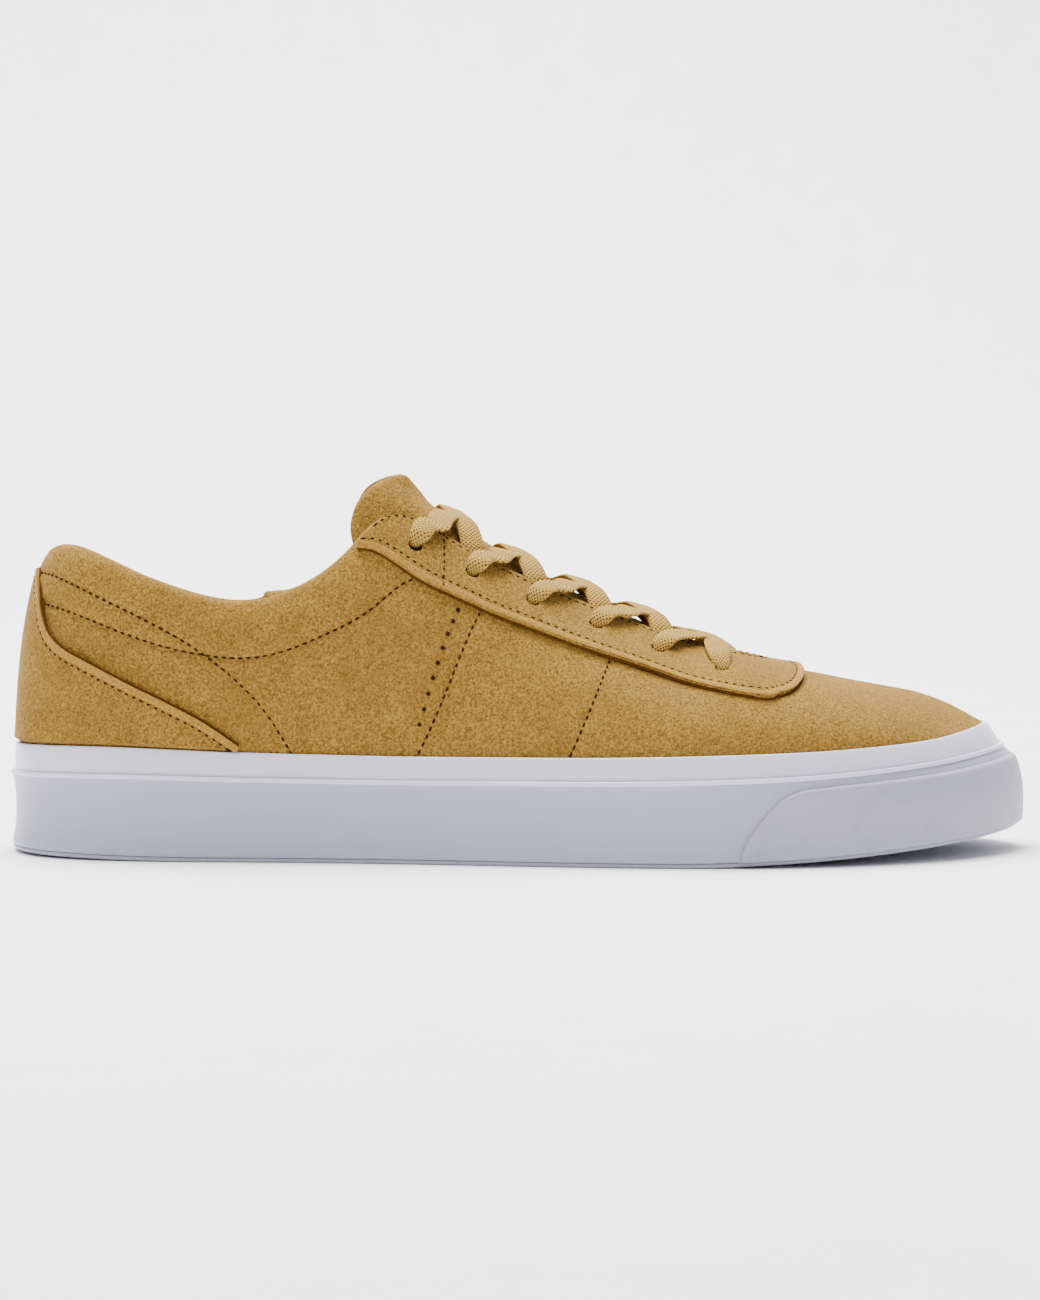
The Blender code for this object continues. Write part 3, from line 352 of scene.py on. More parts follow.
    def top_line(self, station: Any) -> np.ndarray:
        """Return the crest of the collar, throat edge or ridge."""
        station = np.asarray(station, dtype=float)
        x = self.curves["top_x"](station)
        forward = np.clip((x + self.shoe_length / 2) / self.sole_length, 0.0, 1.0)
        turn = np.clip((x - self.throat_front + self.throat_radius) / self.throat_radius, 0.0, 1.0)
        y = self.toe_side * forward**1.5 + self.curves["top_side"](station) * np.sqrt(1.0 - turn**2)
        z = self.curves["by_heel"](station) * self.heel_height
        z = z + self.curves["by_instep"](station) * self.instep_height
        medial = (np.mod(station, ROUND) > TOE).astype(float)
        return np.stack([x, y, z - medial * self.curves["drop"](station) * self.medial_drop], axis=-1)

    @staticmethod
    def climbing(flat: np.ndarray, angle: Any) -> np.ndarray:
        """Return a direction that rises at an angle from a flat direction."""
        angle = np.radians(angle)[..., None]
        up = np.zeros(flat.shape)
        up[..., 2] = 1.0
        return flat * np.cos(angle) + up * np.sin(angle)

    def ridge_slope(self, station: Any) -> np.ndarray:
        """Return how the top line climbs along the shoe, for the ridge of the vamp."""
        step = 0.05
        toe = np.abs(np.mod(station, ROUND) - TOE)
        place = np.where(toe < 4 * step, TOE - 4 * step, station)
        ahead, behind = self.top_line(place + step), self.top_line(place - step)
        run = ahead[..., 0] - behind[..., 0]
        return (ahead[..., 2] - behind[..., 2]) / np.where(np.abs(run) < 1e-6, 1e-6, run)

    def closing(self, station: Any) -> np.ndarray:
        """Ease from 0 at the open throat to 1 where the throat has closed."""
        start = self.throat_front - 3.5 * self.throat_radius
        return smooth_step(start, self.throat_front, self.curves["top_x"](station))

    def feather(self, station: Any) -> np.ndarray:
        """Return where the upper comes out of the foxing."""
        x, y = self.outline(station, self.feather_inset(station))
        return np.stack([x, y, self.foxing_top(station)], axis=-1)

    def arrival(self, station: Any) -> np.ndarray:
        """Return the direction in which a section reaches the top line."""
        flat = self.top_line(station) - self.feather(station)
        flat[..., 2] = 0.0
        flat = unit(flat)
        direction = self.climbing(flat, self.curves["arrive"](station))
        ridge = flat.copy()
        ridge[..., 2] = self.ridge_slope(station) * flat[..., 0]
        share = self.closing(station)[..., None]
        return unit(direction * (1.0 - share) + unit(ridge) * share)

    def face(self, station: Any, rise: Any) -> np.ndarray:
        """Return points on the outer face of the upper."""
        station, rise = np.broadcast_arrays(np.asarray(station, float), np.asarray(rise, float))
        foot = self.feather(station)
        direction = self.arrival(station)
        roll = 0.45 * (self.wall + self.collar_pad * self.curves["pad"](station))
        roll = roll * (1.0 - self.closing(station))
        top = self.top_line(station) - direction * roll[..., None]
        chord = np.linalg.norm(top - foot, axis=-1)[..., None]
        inner_x, inner_y = self.outline(station, self.feather_inset(station) + 1.0)
        inward = unit(np.stack([inner_x, inner_y, foot[..., 2]], axis=-1) - foot)
        leaving = self.climbing(inward, self.curves["leave"](station))
        low = foot + leaving * chord * self.curves["reach_low"](station)[..., None]
        high = top - direction * chord * self.curves["reach_high"](station)[..., None]
        up = np.clip(rise, 0.0, None)[..., None]
        down = 1.0 - up
        above = foot * down**3 + 3 * low * down**2 * up + 3 * high * down * up**2 + top * up**3
        base_x, _ = self.outline(station, self.foxing_depth + self.gap)
        base = self.midsole_top(base_x) + self.gap
        height = base + (foot[..., 2] - base) * np.clip(rise + 1.0, 0.0, 1.0)
        x, y = self.outline(station, self.foot_inset(station, height))
        below = np.stack([x, y, height], axis=-1)
        return np.where((rise < 0.0)[..., None], below, above)

    def normal(self, station: Any, rise: Any) -> np.ndarray:
        """Return the outward normal of the upper's outer face."""
        station, rise = np.broadcast_arrays(np.asarray(station, float), np.asarray(rise, float))
        near_top = (self.curves["top_x"](station) >= self.throat_front) & (rise > 0.97)
        rise = np.where(near_top, 0.97, rise)
        step = 0.01
        above = self.face(station, np.minimum(rise + step, 1.0))
        below = self.face(station, np.maximum(rise - step, -1.0))
        ahead, behind = self.face(station + step, rise), self.face(station - step, rise)
        normal = unit(np.cross(ahead - behind, above - below))
        slope = self.ridge_slope(station)
        ridge = np.stack([-slope, np.zeros(slope.shape), np.ones(slope.shape)], axis=-1)
        return np.where(near_top[..., None], unit(ridge), normal)

    def thickness(self, station: Any, rise: Any) -> np.ndarray:
        """Return the thickness of the upper, with the padding of its collar."""
        padding = self.collar_pad * self.curves["pad"](station)
        return self.wall + padding * smooth_step(self.pad_start, 0.95, rise)

    def offset(self, station: Any, rise: Any, distance: Any) -> np.ndarray:
        """Return points at a distance outside the upper's outer face."""
        distance = np.asarray(distance, dtype=float)[..., None]
        return self.face(station, rise) + self.normal(station, rise) * distance

    def arch(self, station: Any, share: Any) -> np.ndarray:
        """Return a point over the open throat, share 0 at the lateral edge, 1 at the medial."""
        station = np.asarray(station, dtype=float)
        share = np.asarray(share, dtype=float)[..., None]
        near, far = self.face(station, 1.0), self.face(ROUND - station, 1.0)
        span = np.linalg.norm(far - near, axis=-1)[..., None] * 0.36
        near_turn = near + self.arrival(station) * span
        far_turn = far + self.arrival(ROUND - station) * span
        left = 1.0 - share
        ends = near * left**3 + far * share**3
        return ends + 3 * near_turn * left**2 * share + 3 * far_turn * left * share**2

    def arch_offset(self, station: Any, share: Any, distance: Any) -> tuple[np.ndarray, np.ndarray]:
        """Return a point at a distance above the arch over the throat, and the normal there."""
        step = 0.02
        station, share = np.asarray(station, float), np.asarray(share, float)
        across = self.arch(station, share + step) - self.arch(station, share - step)
        along = self.arch(station + step, share) - self.arch(station - step, share)
        normal = unit(np.cross(along, across))
        return self.arch(station, share) + normal * np.asarray(distance, float)[..., None], normal


def line_places(line: Line, count: int) -> tuple[np.ndarray, np.ndarray]:
    """Return stations and rises at even shares along a tabled line."""
    path = spline(np.array(line), np.linspace(0.0, 1.0, count))
    return path[:, 0], path[:, 1]


def mirrored(stations: np.ndarray) -> np.ndarray:
    """Return the same places on the medial side."""
    return ROUND - stations


# Meshes


def grid_faces(rows: int, columns: int, first: int = 0, wrap: bool = False) -> np.ndarray:
    """Return the quads of a grid of points whose rows run one after another."""
    across = columns if wrap else columns - 1
    r, c = np.meshgrid(np.arange(rows - 1), np.arange(across), indexing="ij")
    right = (c + 1) % columns
    quads = [r * columns + c, r * columns + right, (r + 1) * columns + right, (r + 1) * columns + c]
    return np.stack([q.ravel() for q in quads], axis=1) + first


def tube_faces(rings: int, sides: int) -> list[tuple[int, ...]]:
    """Return the faces of a closed tube whose rings turn left, seen from its far end."""
    faces = [tuple(face) for face in grid_faces(rings, sides, wrap=True)]
    faces.append(tuple(reversed(range(sides))))
    faces.append(tuple(range((rings - 1) * sides, rings * sides)))
    return faces


def new_object(name: str, data: Any) -> bpy.types.Object:
    """Make an object of a mesh, camera or light and link it to the scene."""
    made = bpy.data.objects.new(name, data)
    bpy.context.scene.collection.objects.link(made)
    return made


def new_mesh(
    name: str,
    points: np.ndarray,
    faces: Sequence[Sequence[int]],
    materials: Sequence[bpy.types.Material],
    slots: np.ndarray | None = None,
    uv: np.ndarray | None = None,
    sharp: float = 40.0,
) -> bpy.types.Object:
    """Make a mesh object at the origin from points in millimetres.

    Args:
        name: Name of the piece.
        points: One point a row.
        faces: Corners of each face.
        materials: Materials of the piece's slots.
        slots: Slot of each face, where there are several.
        uv: One pair for each point, in metres along and across the cloth.
        sharp: Angle in degrees above which an edge is drawn sharp.

    Returns:
        The new object, linked to the scene.
    """
    faces = [list(map(int, face)) for face in faces]
    used = np.unique(np.concatenate([np.array(face) for face in faces]))
    moved = np.full(len(points), -1)
    moved[used] = np.arange(len(used))
    mesh = bpy.data.meshes.new(name)
    kept = np.asarray(points, dtype=float)[used] * MM
    mesh.from_pydata(kept.tolist(), [], [moved[face].tolist() for face in faces])
    for material in materials:
        mesh.materials.append(material)
    if slots is not None:
        mesh.polygons.foreach_set("material_index", np.asarray(slots, dtype=np.int32))
    if uv is not None:
        corners = np.empty(len(mesh.loops), dtype=np.int32)
        mesh.loops.foreach_get("vertex_index", corners)
        layer = mesh.uv_layers.new(name="cloth")
        layer.data.foreach_set("uv", np.asarray(uv, dtype=np.float32)[used][corners].ravel())
    mesh.update()
    mesh.shade_smooth()
    mesh.set_sharp_from_angle(angle=math.radians(sharp))
    return new_object(name, mesh)


def plain_copy(name: str, source: bpy.types.Object, tool: bpy.types.Object) -> bpy.types.Object:
    """Return an object as its modifiers leave it, as a plain mesh, and delete it and its tool."""
    graph = bpy.context.evaluated_depsgraph_get()
    graph.update()
    mesh = bpy.data.meshes.new_from_object(source.evaluated_get(graph), depsgraph=graph)
    source.modifiers.clear()
    mesh.name = name
    for used in (source, tool):
        bpy.data.objects.remove(used, do_unlink=True)
    return new_object(name, mesh)


def closed_ring(loops: Sequence[np.ndarray]) -> tuple[np.ndarray, np.ndarray]:
    """Return points and quads of a ring from loops up its outside and down its inside."""
    points = np.concatenate(loops)
    count = len(loops[0])
    faces = grid_faces(len(loops), count, wrap=True)
    last = (len(loops) - 1) * count
    around = np.arange(count)
    after = (around + 1) % count
    closing = np.stack([last + around, last + after, after, around], axis=1)
    return points, np.concatenate([faces, closing])


def closed_patch(outer: np.ndarray, inner: np.ndarray) -> tuple[np.ndarray, list[tuple[int, ...]]]:
    """Return points and faces of a closed panel from its outer and inner grids."""
    rows, columns, _ = outer.shape
    points = np.concatenate([outer.reshape(-1, 3), inner.reshape(-1, 3)])
    shift = rows * columns
    faces = [tuple(f) for f in grid_faces(rows, columns)]
    faces += [tuple(f[::-1]) for f in grid_faces(rows, columns, shift)]
    rim = list(range(columns))
    rim += [r * columns + columns - 1 for r in range(1, rows)]
    rim += [(rows - 1) * columns + c for c in range(columns - 2, -1, -1)]
    rim += [r * columns for r in range(rows - 2, 0, -1)]
    for here, after in zip(rim, rim[1:] + rim[:1]):
        faces.append((after, here, here + shift, after + shift))
    return points, faces


def nearest_distance(points: np.ndarray, line: np.ndarray) -> np.ndarray:
    """Return the distance from each point to the nearest point of a dense line."""
    tree = KDTree(len(line))
    for place, point in enumerate(line):
        tree.insert(point, place)
    tree.balance()
    gaps = [tree.find(point)[2] for point in points.reshape(-1, 3)]
    return np.array(gaps).reshape(points.shape[:-1])


def quarter_round(distance: np.ndarray, radius: float) -> np.ndarray:
    """Return a share that rises in a quarter circle with the distance from an edge."""
    return np.sqrt(1.0 - (1.0 - np.clip(distance / radius, 0.0, 1.0)) ** 2)


def rounded_edge(points: np.ndarray, radius: float) -> np.ndarray:
    """Return the quarter round from all four edges of a panel's grid of points."""
    up, along = run_along(points), run_along(np.swapaxes(points, 0, 1)).T
    return quarter_round(np.minimum.reduce([up, up[-1:] - up, along, along[:, -1:] - along]), radius)


# Finishes


def linear(code: str) -> tuple[float, float, float, float]:
    """Return the linear colour of an sRGB hex value."""
    parts = [int(code[k:k + 2], 16) / 255.0 for k in (1, 3, 5)]
    made = [c / 12.92 if c <= 0.04045 else ((c + 0.055) / 1.055) ** 2.4 for c in parts]
    return (made[0], made[1], made[2], 1.0)


def add_node(
    tree: bpy.types.NodeTree,
    kind: str,
    settings: dict[str, Any] | None = None,
    inputs: dict[Any, Any] | None = None,
) -> bpy.types.Node:
    """Add a node with its settings, and set or link its inputs.

    Args:
        tree: Tree that gets the node.
        kind: Type name of the node.
        settings: Properties of the node by name.
        inputs: Values, or output sockets to link, by the input's name or place.

    Returns:
        The new node.
    """
    node = tree.nodes.new(kind)
    for name, value in (settings or {}).items():
        setattr(node, name, value)
    for name, value in (inputs or {}).items():
        if isinstance(value, bpy.types.NodeSocket):
            tree.links.new(value, node.inputs[name])
        else:
            node.inputs[name].default_value = value
    return node


@dataclass(frozen=True)
class Mottle:
    """A tint that shows where a noise rises from low to high, with its grain in mm."""

    grain: float
    tint: str
    low: float
    high: float
    most: float = 1.0
    bend: float = 0.0


@dataclass(frozen=True)
class Finish:
    """A real material: its name, its shine, its mottled colours and its raised grain."""

    name: str
    base: str
    mottles: tuple[Mottle, ...]
    roughness: float = 0.9
    ior: float = 1.45
    specular: float = 0.3
    sheen: float = 0.0
    sheen_tint: str = "#FFE8C0"
    grain: float = 0.5
    depth: float = 0.05

    def place(self, tree: bpy.types.NodeTree) -> bpy.types.NodeSocket:
        """Return the coordinates that the pattern follows."""
        return add_node(tree, "ShaderNodeTexCoord").outputs["Object"]

    def height(self, tree: bpy.types.NodeTree, place: bpy.types.NodeSocket) -> bpy.types.NodeSocket:
        """Return the height of the raised grain."""
        coarse = {"Vector": place, "Scale": 1.0 / (self.grain * MM), "Detail": 3.0, "Roughness": 0.6}
        return add_node(tree, "ShaderNodeTexNoise", {}, coarse).outputs["Fac"]

    def ground(self, tree: bpy.types.NodeTree, height: bpy.types.NodeSocket) -> Any:
        """Return the colour under the mottles."""
        return linear(self.base)

    def build(self) -> bpy.types.Material:
        """Build the material from its values.

        Returns:
            A material whose even values stand on the shader's own sockets.
        """
        material = bpy.data.materials.new(self.name)
        material.use_nodes = True
        tree = material.node_tree
        shader = tree.nodes["Principled BSDF"]
        even = {"Metallic": 0.0, "Roughness": self.roughness, "IOR": self.ior,
                "Specular IOR Level": self.specular, "Sheen Weight": self.sheen,
                "Sheen Roughness": 0.4, "Sheen Tint": linear(self.sheen_tint)}
        for name, value in even.items():
            shader.inputs[name].default_value = value
        place = self.place(tree)
        height = self.height(tree, place)
        colour = self.ground(tree, height)
        for mottle in self.mottles:
            noise = add_node(tree, "ShaderNodeTexNoise", {}, {
                "Vector": place, "Scale": 1.0 / (mottle.grain * MM), "Detail": 3.0,
                "Roughness": 0.6, "Distortion": mottle.bend})
            share = add_node(tree, "ShaderNodeMapRange", {}, {
                "Value": noise.outputs["Fac"], "From Min": mottle.low, "From Max": mottle.high,
                "To Min": 0.0, "To Max": mottle.most})
            colour = add_node(tree, "ShaderNodeMix", {"data_type": "RGBA"}, {
                0: share.outputs["Result"], 6: colour, 7: linear(mottle.tint)}).outputs[2]
        bump = add_node(tree, "ShaderNodeBump", {}, {
            "Height": height, "Strength": 0.8, "Distance": self.depth * MM})
        tree.links.new(colour, shader.inputs["Base Color"])
        tree.links.new(bump.outputs["Normal"], shader.inputs["Normal"])
        return material


class Weave(Enum):
    """How a cloth's threads lie, as the angles of its two sets of threads."""

    FLAT_BRAID = (38.0, -38.0)
    PLAIN = (0.0, 90.0)


@dataclass(frozen=True)
class Cloth(Finish):
    """Woven or braided cloth, whose threads follow the piece's own UV map in metres."""

    gaps: str = "#A27D42"
    thread: float = 0.9
    weave: Weave = Weave.PLAIN

    def place(self, tree: bpy.types.NodeTree) -> bpy.types.NodeSocket:
        """Return the place on the cloth, along and across it."""
        return add_node(tree, "ShaderNodeUVMap", {"uv_map": "cloth"}).outputs["UV"]

    def height(self, tree: bpy.types.NodeTree, place: bpy.types.NodeSocket) -> bpy.types.NodeSocket:
        """Return the height of two crossing sets of round threads."""
        waves = []
        for turn in self.weave.value:
            turned = add_node(tree, "ShaderNodeMapping", {}, {
                "Vector": place, "Rotation": (0.0, 0.0, math.radians(turn))})
            wave = add_node(tree, "ShaderNodeTexWave", {"wave_profile": "SIN", "bands_direction": "X"}, {
                "Vector": turned.outputs["Vector"], "Scale": 0.314 / (self.thread * MM),
                "Distortion": 0.5, "Detail": 1.0, "Detail Scale": 2.0})
            waves.append(wave.outputs["Fac"])
        higher = add_node(tree, "ShaderNodeMath", {"operation": "MAXIMUM"}, {0: waves[0], 1: waves[1]})
        return higher.outputs[0]

    def ground(self, tree: bpy.types.NodeTree, height: bpy.types.NodeSocket) -> bpy.types.NodeSocket:
        """Return threads in their own colour over the darker gaps between them."""
        share = add_node(tree, "ShaderNodeMapRange", {}, {
            "Value": height, "From Min": 0.2, "From Max": 0.85, "To Min": 0.0, "To Max": 1.0})
        return add_node(tree, "ShaderNodeMix", {"data_type": "RGBA"}, {
            0: share.outputs["Result"], 6: linear(self.gaps), 7: linear(self.base)}).outputs[2]


class Wardrobe:
    """The finishes of the shoe, each built once."""

    def __init__(self) -> None:
        """Build every material."""
        # Split leather sanded to a nap: quite matt, speckled by its fibres, soft sheen at its edges.
        # Its real fibres are too fine to show, so the speckle is drawn about 0.7 mm wide
        self.suede = Finish(
            "suede_split_leather", "#634615", (
                Mottle(0.7, "#997633", 0.36, 0.62), Mottle(18.0, "#654716", 0.40, 0.72, 0.35, 0.8),
                Mottle(0.45, "#38260C", 0.46, 0.32, 0.75, 0.6)),
            roughness=0.95, specular=0.12, sheen=0.12, sheen_tint="#FFD890", grain=0.6, depth=0.30).build()
        # A painted highlight: the same leather painted paler and closer, for the light caught by the rounded
        # top of a panel's edge
        self.edge_highlight = Finish(
            "suede_worn_edge", "#7E5A20", (
                Mottle(0.5, "#A27C3A", 0.36, 0.64), Mottle(0.4, "#503610", 0.42, 0.3, 0.4)),
            roughness=0.95, specular=0.12, sheen=0.1, grain=0.4, depth=0.12).build()
        # Painted shade: the sawn side of a panel, painted dark brown for the shade it lies in below the
        # highlit top of the edge; matt
        self.painted_shade_edge = Finish(
            "suede_dyed_side", "#3A2208", (Mottle(0.5, "#553510", 0.4, 0.66),),
            roughness=1.0, specular=0.05, grain=0.4, depth=0.1).build()
        # Brushed polyester: even, matt, with a fine plain weave
        self.lining = Cloth(
            "lining_polyester_cloth", "#6E4E1C", (Mottle(6.0, "#553A12", 0.45, 0.75, 0.4),),
            roughness=0.95, specular=0.2, depth=0.12, gaps="#3A250B", thread=0.8).build()
        # The same cloth pressed on foam under the foot: paler where feet have not been
        self.sock = Cloth(
            "sock_liner_cloth", "#B5935C", (Mottle(9.0, "#94733F", 0.45, 0.75, 0.4),),
            roughness=0.95, specular=0.2, depth=0.1, gaps="#7D6034", thread=0.7).build()
        # Flat cotton braid: matt pale threads that cross at a slant, with dark gaps between them
        self.lace = Cloth(
            "lace_flat_cotton_braid", "#B48F42", (Mottle(0.7, "#8C6A2A", 0.44, 0.66, 0.5),),
            roughness=0.9, specular=0.2, sheen=0.06, depth=0.36, gaps="#43290A", thread=0.95,
            weave=Weave.FLAT_BRAID).build()
        # Vulcanised rubber from a smooth mould: satin, cool white, with a few soft grey marks
        self.rubber = Finish(
            "rubber_vulcanised_white", "#9797A6", (
                Mottle(16.0, "#858594", 0.54, 0.82, 0.3, 0.5), Mottle(2.4, "#6C6C78", 0.74, 0.80, 0.4)),
            roughness=0.42, specular=0.45, ior=1.5, grain=0.4, depth=0.02).build()
        # The upper strip and the bead: the same rubber, painted a shade whiter as highlight where they catch
        # the light from above, and glossier from their polished moulds
        self.highlight_rubber = Finish(
            "rubber_white_painted_highlight", "#C2C0CE", (Mottle(14.0, "#AEACBA", 0.54, 0.82, 0.3, 0.5),),
            roughness=0.30, specular=0.5, ior=1.5, grain=0.4, depth=0.02).build()
        # The toe cap is the same rubber, roughened and marked where the board's grip rubs it
        self.toe_rubber = Finish(
            "rubber_toe_cap_white", "#94929F", (
                Mottle(12.0, "#7C7A88", 0.52, 0.80, 0.45, 0.8), Mottle(1.8, "#62606E", 0.72, 0.79, 0.5)),
            roughness=0.5, specular=0.4, ior=1.5, grain=0.4, depth=0.04).build()
        # Bonded polyester thread: dark brown and tight, so it reads as a fine dashed line
        self.thread = Finish(
            "thread_bonded_polyester", "#1C0E03", (Mottle(3.0, "#2E1A08", 0.4, 0.7),),
            roughness=0.9, specular=0.05, grain=0.3, depth=0.03).build()
        # Painted shade: near-black discs in the eyelets and vents, standing for the fibres inside a punched
        # hole in deep shade
        self.hollow = Finish(
            "punched_hole_painted_shade", "#1E1208", (Mottle(0.5, "#2E1C0C", 0.4, 0.6),),
            roughness=1.0, specular=0.05, grain=0.4, depth=0.1).build()
        # Expanded foam: matt cream with a closed fine cell
        self.foam = Finish(
            "eva_foam", "#D9D2BE", (Mottle(1.2, "#C9C1AA", 0.4, 0.7),),
            roughness=0.9, grain=0.8, depth=0.06).build()
        # Paper on a studio table: matt and nearly even
        self.paper = Finish(
            "studio_paper", "#F8F8F8", (Mottle(30.0, "#F5F5F5", 0.4, 0.7),),
            roughness=0.95, specular=0.05, grain=1.0, depth=0.01).build()


# Sole


@dataclass
class SoleUnit:
    """Outsole, dished foxing with its bead, upper strip, toe bumper and slabs."""

    last: Last
    wardrobe: Wardrobe
    columns: int = 720
    band_shares: tuple[float, ...] = (0.03, 0.08, 0.16, 0.25, 0.35, 0.45, 0.55, 0.65, 0.74, 0.82, 0.88)
    dish_depth: float = 1.2
    lip_inset: float = 0.4
    lip_thickness: float = 1.4
    bead_radius: float = 0.7
    bead_step: float = 1.1
    strip_round: float = 0.45
    bumper_rows: tuple[float, ...] = (
        0.0, 0.02, 0.05, 0.12, 0.25, 0.4, 0.55, 0.7, 0.82, 0.9, 0.95, 0.98, 1.0
    )
    bumper_wall: float = 1.0
    bumper_drop: float = 3.3
    bumper_start: float = 10.9
    bumper_round: float = 0.9
    rib_pitch: float = 0.85
    lug_pitch: float = 7.0
    lug_share: float = 0.78
    tread_depth: float = 0.9
    tread_margin: float = 7.6
    sock_thickness: float = 4.2
    sock_dish: float = 1.4
    spine_heel: float = -105.0
    spine_toe: float = 95.0
    spine_side: float = 1.5

    def stations(self) -> np.ndarray:
        """Return even stations round the shoe."""
        return np.linspace(0.0, ROUND, self.columns, endpoint=False)

    def loop(self, inset: Any, height: Any) -> np.ndarray:
        """Return a loop of points round the shoe at an inset and a height."""
        stations = self.stations()
        x, y = self.last.outline(stations, np.broadcast_to(inset, stations.shape))
        return np.stack([x, y, np.broadcast_to(height, x.shape)], axis=-1)

    def capped(self, loops: Sequence[np.ndarray]) -> tuple[np.ndarray, list[tuple[int, ...]]]:
        """Return points and faces of a slab from its loops, the lowest first, closed at both."""
        faces = [tuple(face) for face in grid_faces(len(loops), self.columns, wrap=True)]
        faces += self.across(0, up=False)
        faces += self.across((len(loops) - 1) * self.columns, up=True)
        return np.concatenate(loops), faces

    def across(self, first: int, up: bool) -> list[tuple[int, ...]]:
        """Return strips that close a loop from its lateral to its medial half."""
        faces = []
        for k in range(self.columns // 2):
            far = first + self.columns - k - 1
            ring = [first + k, first + k + 1, far, first + (self.columns - k) % self.columns]
            ring = [v for n, v in enumerate(ring) if v not in ring[:n]]
            faces.append(tuple(ring) if up else tuple(reversed(ring)))
        return faces

    def floor_line(self, stations: np.ndarray) -> np.ndarray:
        """Return the height at which the foxing starts, over the outsole's lip."""
        x, _ = self.last.outline(stations, self.lip_inset)
        return self.last.floor_gap(x) + self.lip_thickness

    def band_profile(self, stations: np.ndarray, share: Any) -> tuple[np.ndarray, np.ndarray]:
        """Return inset and height of the dished face at a share of its height."""
        low = self.floor_line(stations)
        height = low + (self.last.bead_top(stations) - low) * share
        hollow = self.last.curves["dish"](stations) * self.dish_depth * 4.0 * share * (1.0 - share)
        return hollow + self.last.lean("lean_bead", stations) * share**3, height

    def build_foxing(self) -> bpy.types.Object:
        """Make the lower band, whose face is hollow and ends in a round bead."""
        last, stations = self.last, self.stations()
        low, bead = self.floor_line(stations), last.bead_top(stations)
        lean = last.lean("lean_bead", stations)
        loops = [self.loop(1.2, low - 0.1), self.loop(0.3, low + 0.05)]
        loops += [self.loop(*self.band_profile(stations, share)) for share in self.band_shares]
        bead_first = len(loops)
        for turn in np.radians(np.linspace(-60, 90, 7)):
            out = lean - 0.25 + 0.6 * (1 - np.cos(turn))
            loops.append(self.loop(out, bead - self.bead_radius + self.bead_radius * np.sin(turn)))
        bead_end = len(loops) + 1
        loops.append(self.loop(lean + self.bead_step + 0.2, bead - 0.15))
        loops.append(self.loop(last.foot_inset(stations, bead) - 0.2, bead - 0.2))
        loops.append(self.loop(last.foxing_depth, low))
        points, faces = closed_ring(loops)
        slots = np.zeros(len(faces), dtype=int)
        # The bead's rows take the whiter rubber: a painted highlight along the bead
        slots[bead_first * self.columns:bead_end * self.columns] = 1
        rubbers = [self.wardrobe.rubber, self.wardrobe.highlight_rubber]
        piece = new_mesh("foxing_band", points, faces, rubbers, slots)
        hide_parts("foxing")
        return piece

    def build_strip(self) -> bpy.types.Object:
        """Make the thin upper strip round the foot of the upper, with its rolled top."""
        last, stations, radius = self.last, self.stations(), self.strip_round
        low, high = last.bead_top(stations) - 0.3, last.foxing_top(stations)
        step = last.lean("lean_bead", stations) + self.bead_step
        top = last.lean("lean_top", stations)
        loops = []
        for share in (0.0, 0.2, 0.4, 0.6, 0.8, 0.9):
            belly = 0.18 * math.sin(math.pi * share)
            loops.append(self.loop(step + (top - step) * share - belly, low + (high - low) * share))
        for turn in np.radians((20, 50, 80)):
            out = top + radius * (1 - np.cos(turn))
            loops.append(self.loop(out, high - 0.35 + radius * np.sin(turn)))
        loops.append(self.loop(last.foot_inset(stations, high) + 0.1, high + 0.05))
        loops.append(self.loop(last.foot_inset(stations, low) + 0.1, low))
        points, faces = closed_ring(loops)
        # The whole strip takes the whiter rubber: a painted highlight
        piece = new_mesh("foxing_upper_strip", points, faces, [self.wardrobe.highlight_rubber])
        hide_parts("foxing_strip")
        return piece

    def build_bumper(self) -> bpy.types.Object:
        """Make the rubber cap round the toe, whose edge is rounded and stands proud."""
        last = self.last
        half = np.linspace(0.0, 1.0, 150) ** 1.25
        lateral = self.bumper_start + (TOE - self.bumper_start) * half
        stations = np.concatenate([lateral, ROUND - lateral[-2::-1]])
        near = np.where(stations > TOE, ROUND - stations, stations) - self.bumper_start
        climb = np.interp(near, *zip(*BUMPER_CLIMB))
        low = self.floor_line(stations)
        bead = last.bead_top(stations)
        crown = (bead - self.bumper_drop - low) / (bead - low)
        rows = np.array(self.bumper_rows)[:, None]
        inset, height = self.band_profile(stations[None, :], rows * (crown * climb))
        climbed = crown * climb * (bead - low)
        run = run_along(np.stack(last.outline(stations, 0.0), axis=-1))
        edge = np.minimum((1.0 - rows) * climbed, np.minimum(run, run[-1] - run))
        edge = np.minimum(edge, rows * climbed + 0.35)
        wide = np.broadcast_to(stations, inset.shape)
        proud = 0.06 + (self.bumper_wall + last.gap) * quarter_round(edge, self.bumper_round)
        outer = np.stack([*last.outline(wide, inset - proud), height], axis=-1)
        inner = np.stack([*last.outline(wide, inset + 0.6), height], axis=-1)
        points, faces = closed_patch(outer, inner)
        piece = new_mesh("toe_cap", points, faces, [self.wardrobe.toe_rubber], sharp=60.0)
        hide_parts("toe_bumper")
        return piece

    def build_ribs(self) -> bpy.types.Object:
        """Make the fine upright ribs below the top of the strip, by Geometry Nodes."""
        last = self.last
        lateral = np.linspace(3.3, 12.6, 700)
        rows = []
        for stations in (lateral, mirrored(lateral)):
            x, y = last.outline(stations, last.lean("lean_top", stations) + 0.28)
            rows.append(np.stack([x, y, last.foxing_top(stations) - 1.35], axis=-1))
        shape = RepeatShape(length=0.42, width=0.62, height=1.7, sides=6)
        # The ribs take the whiter rubber of the strip: a painted highlight
        rubber = self.wardrobe.highlight_rubber
        piece = follow_path("foxing_fine_ribs", rows, shape, self.rib_pitch, rubber, True)
        return piece

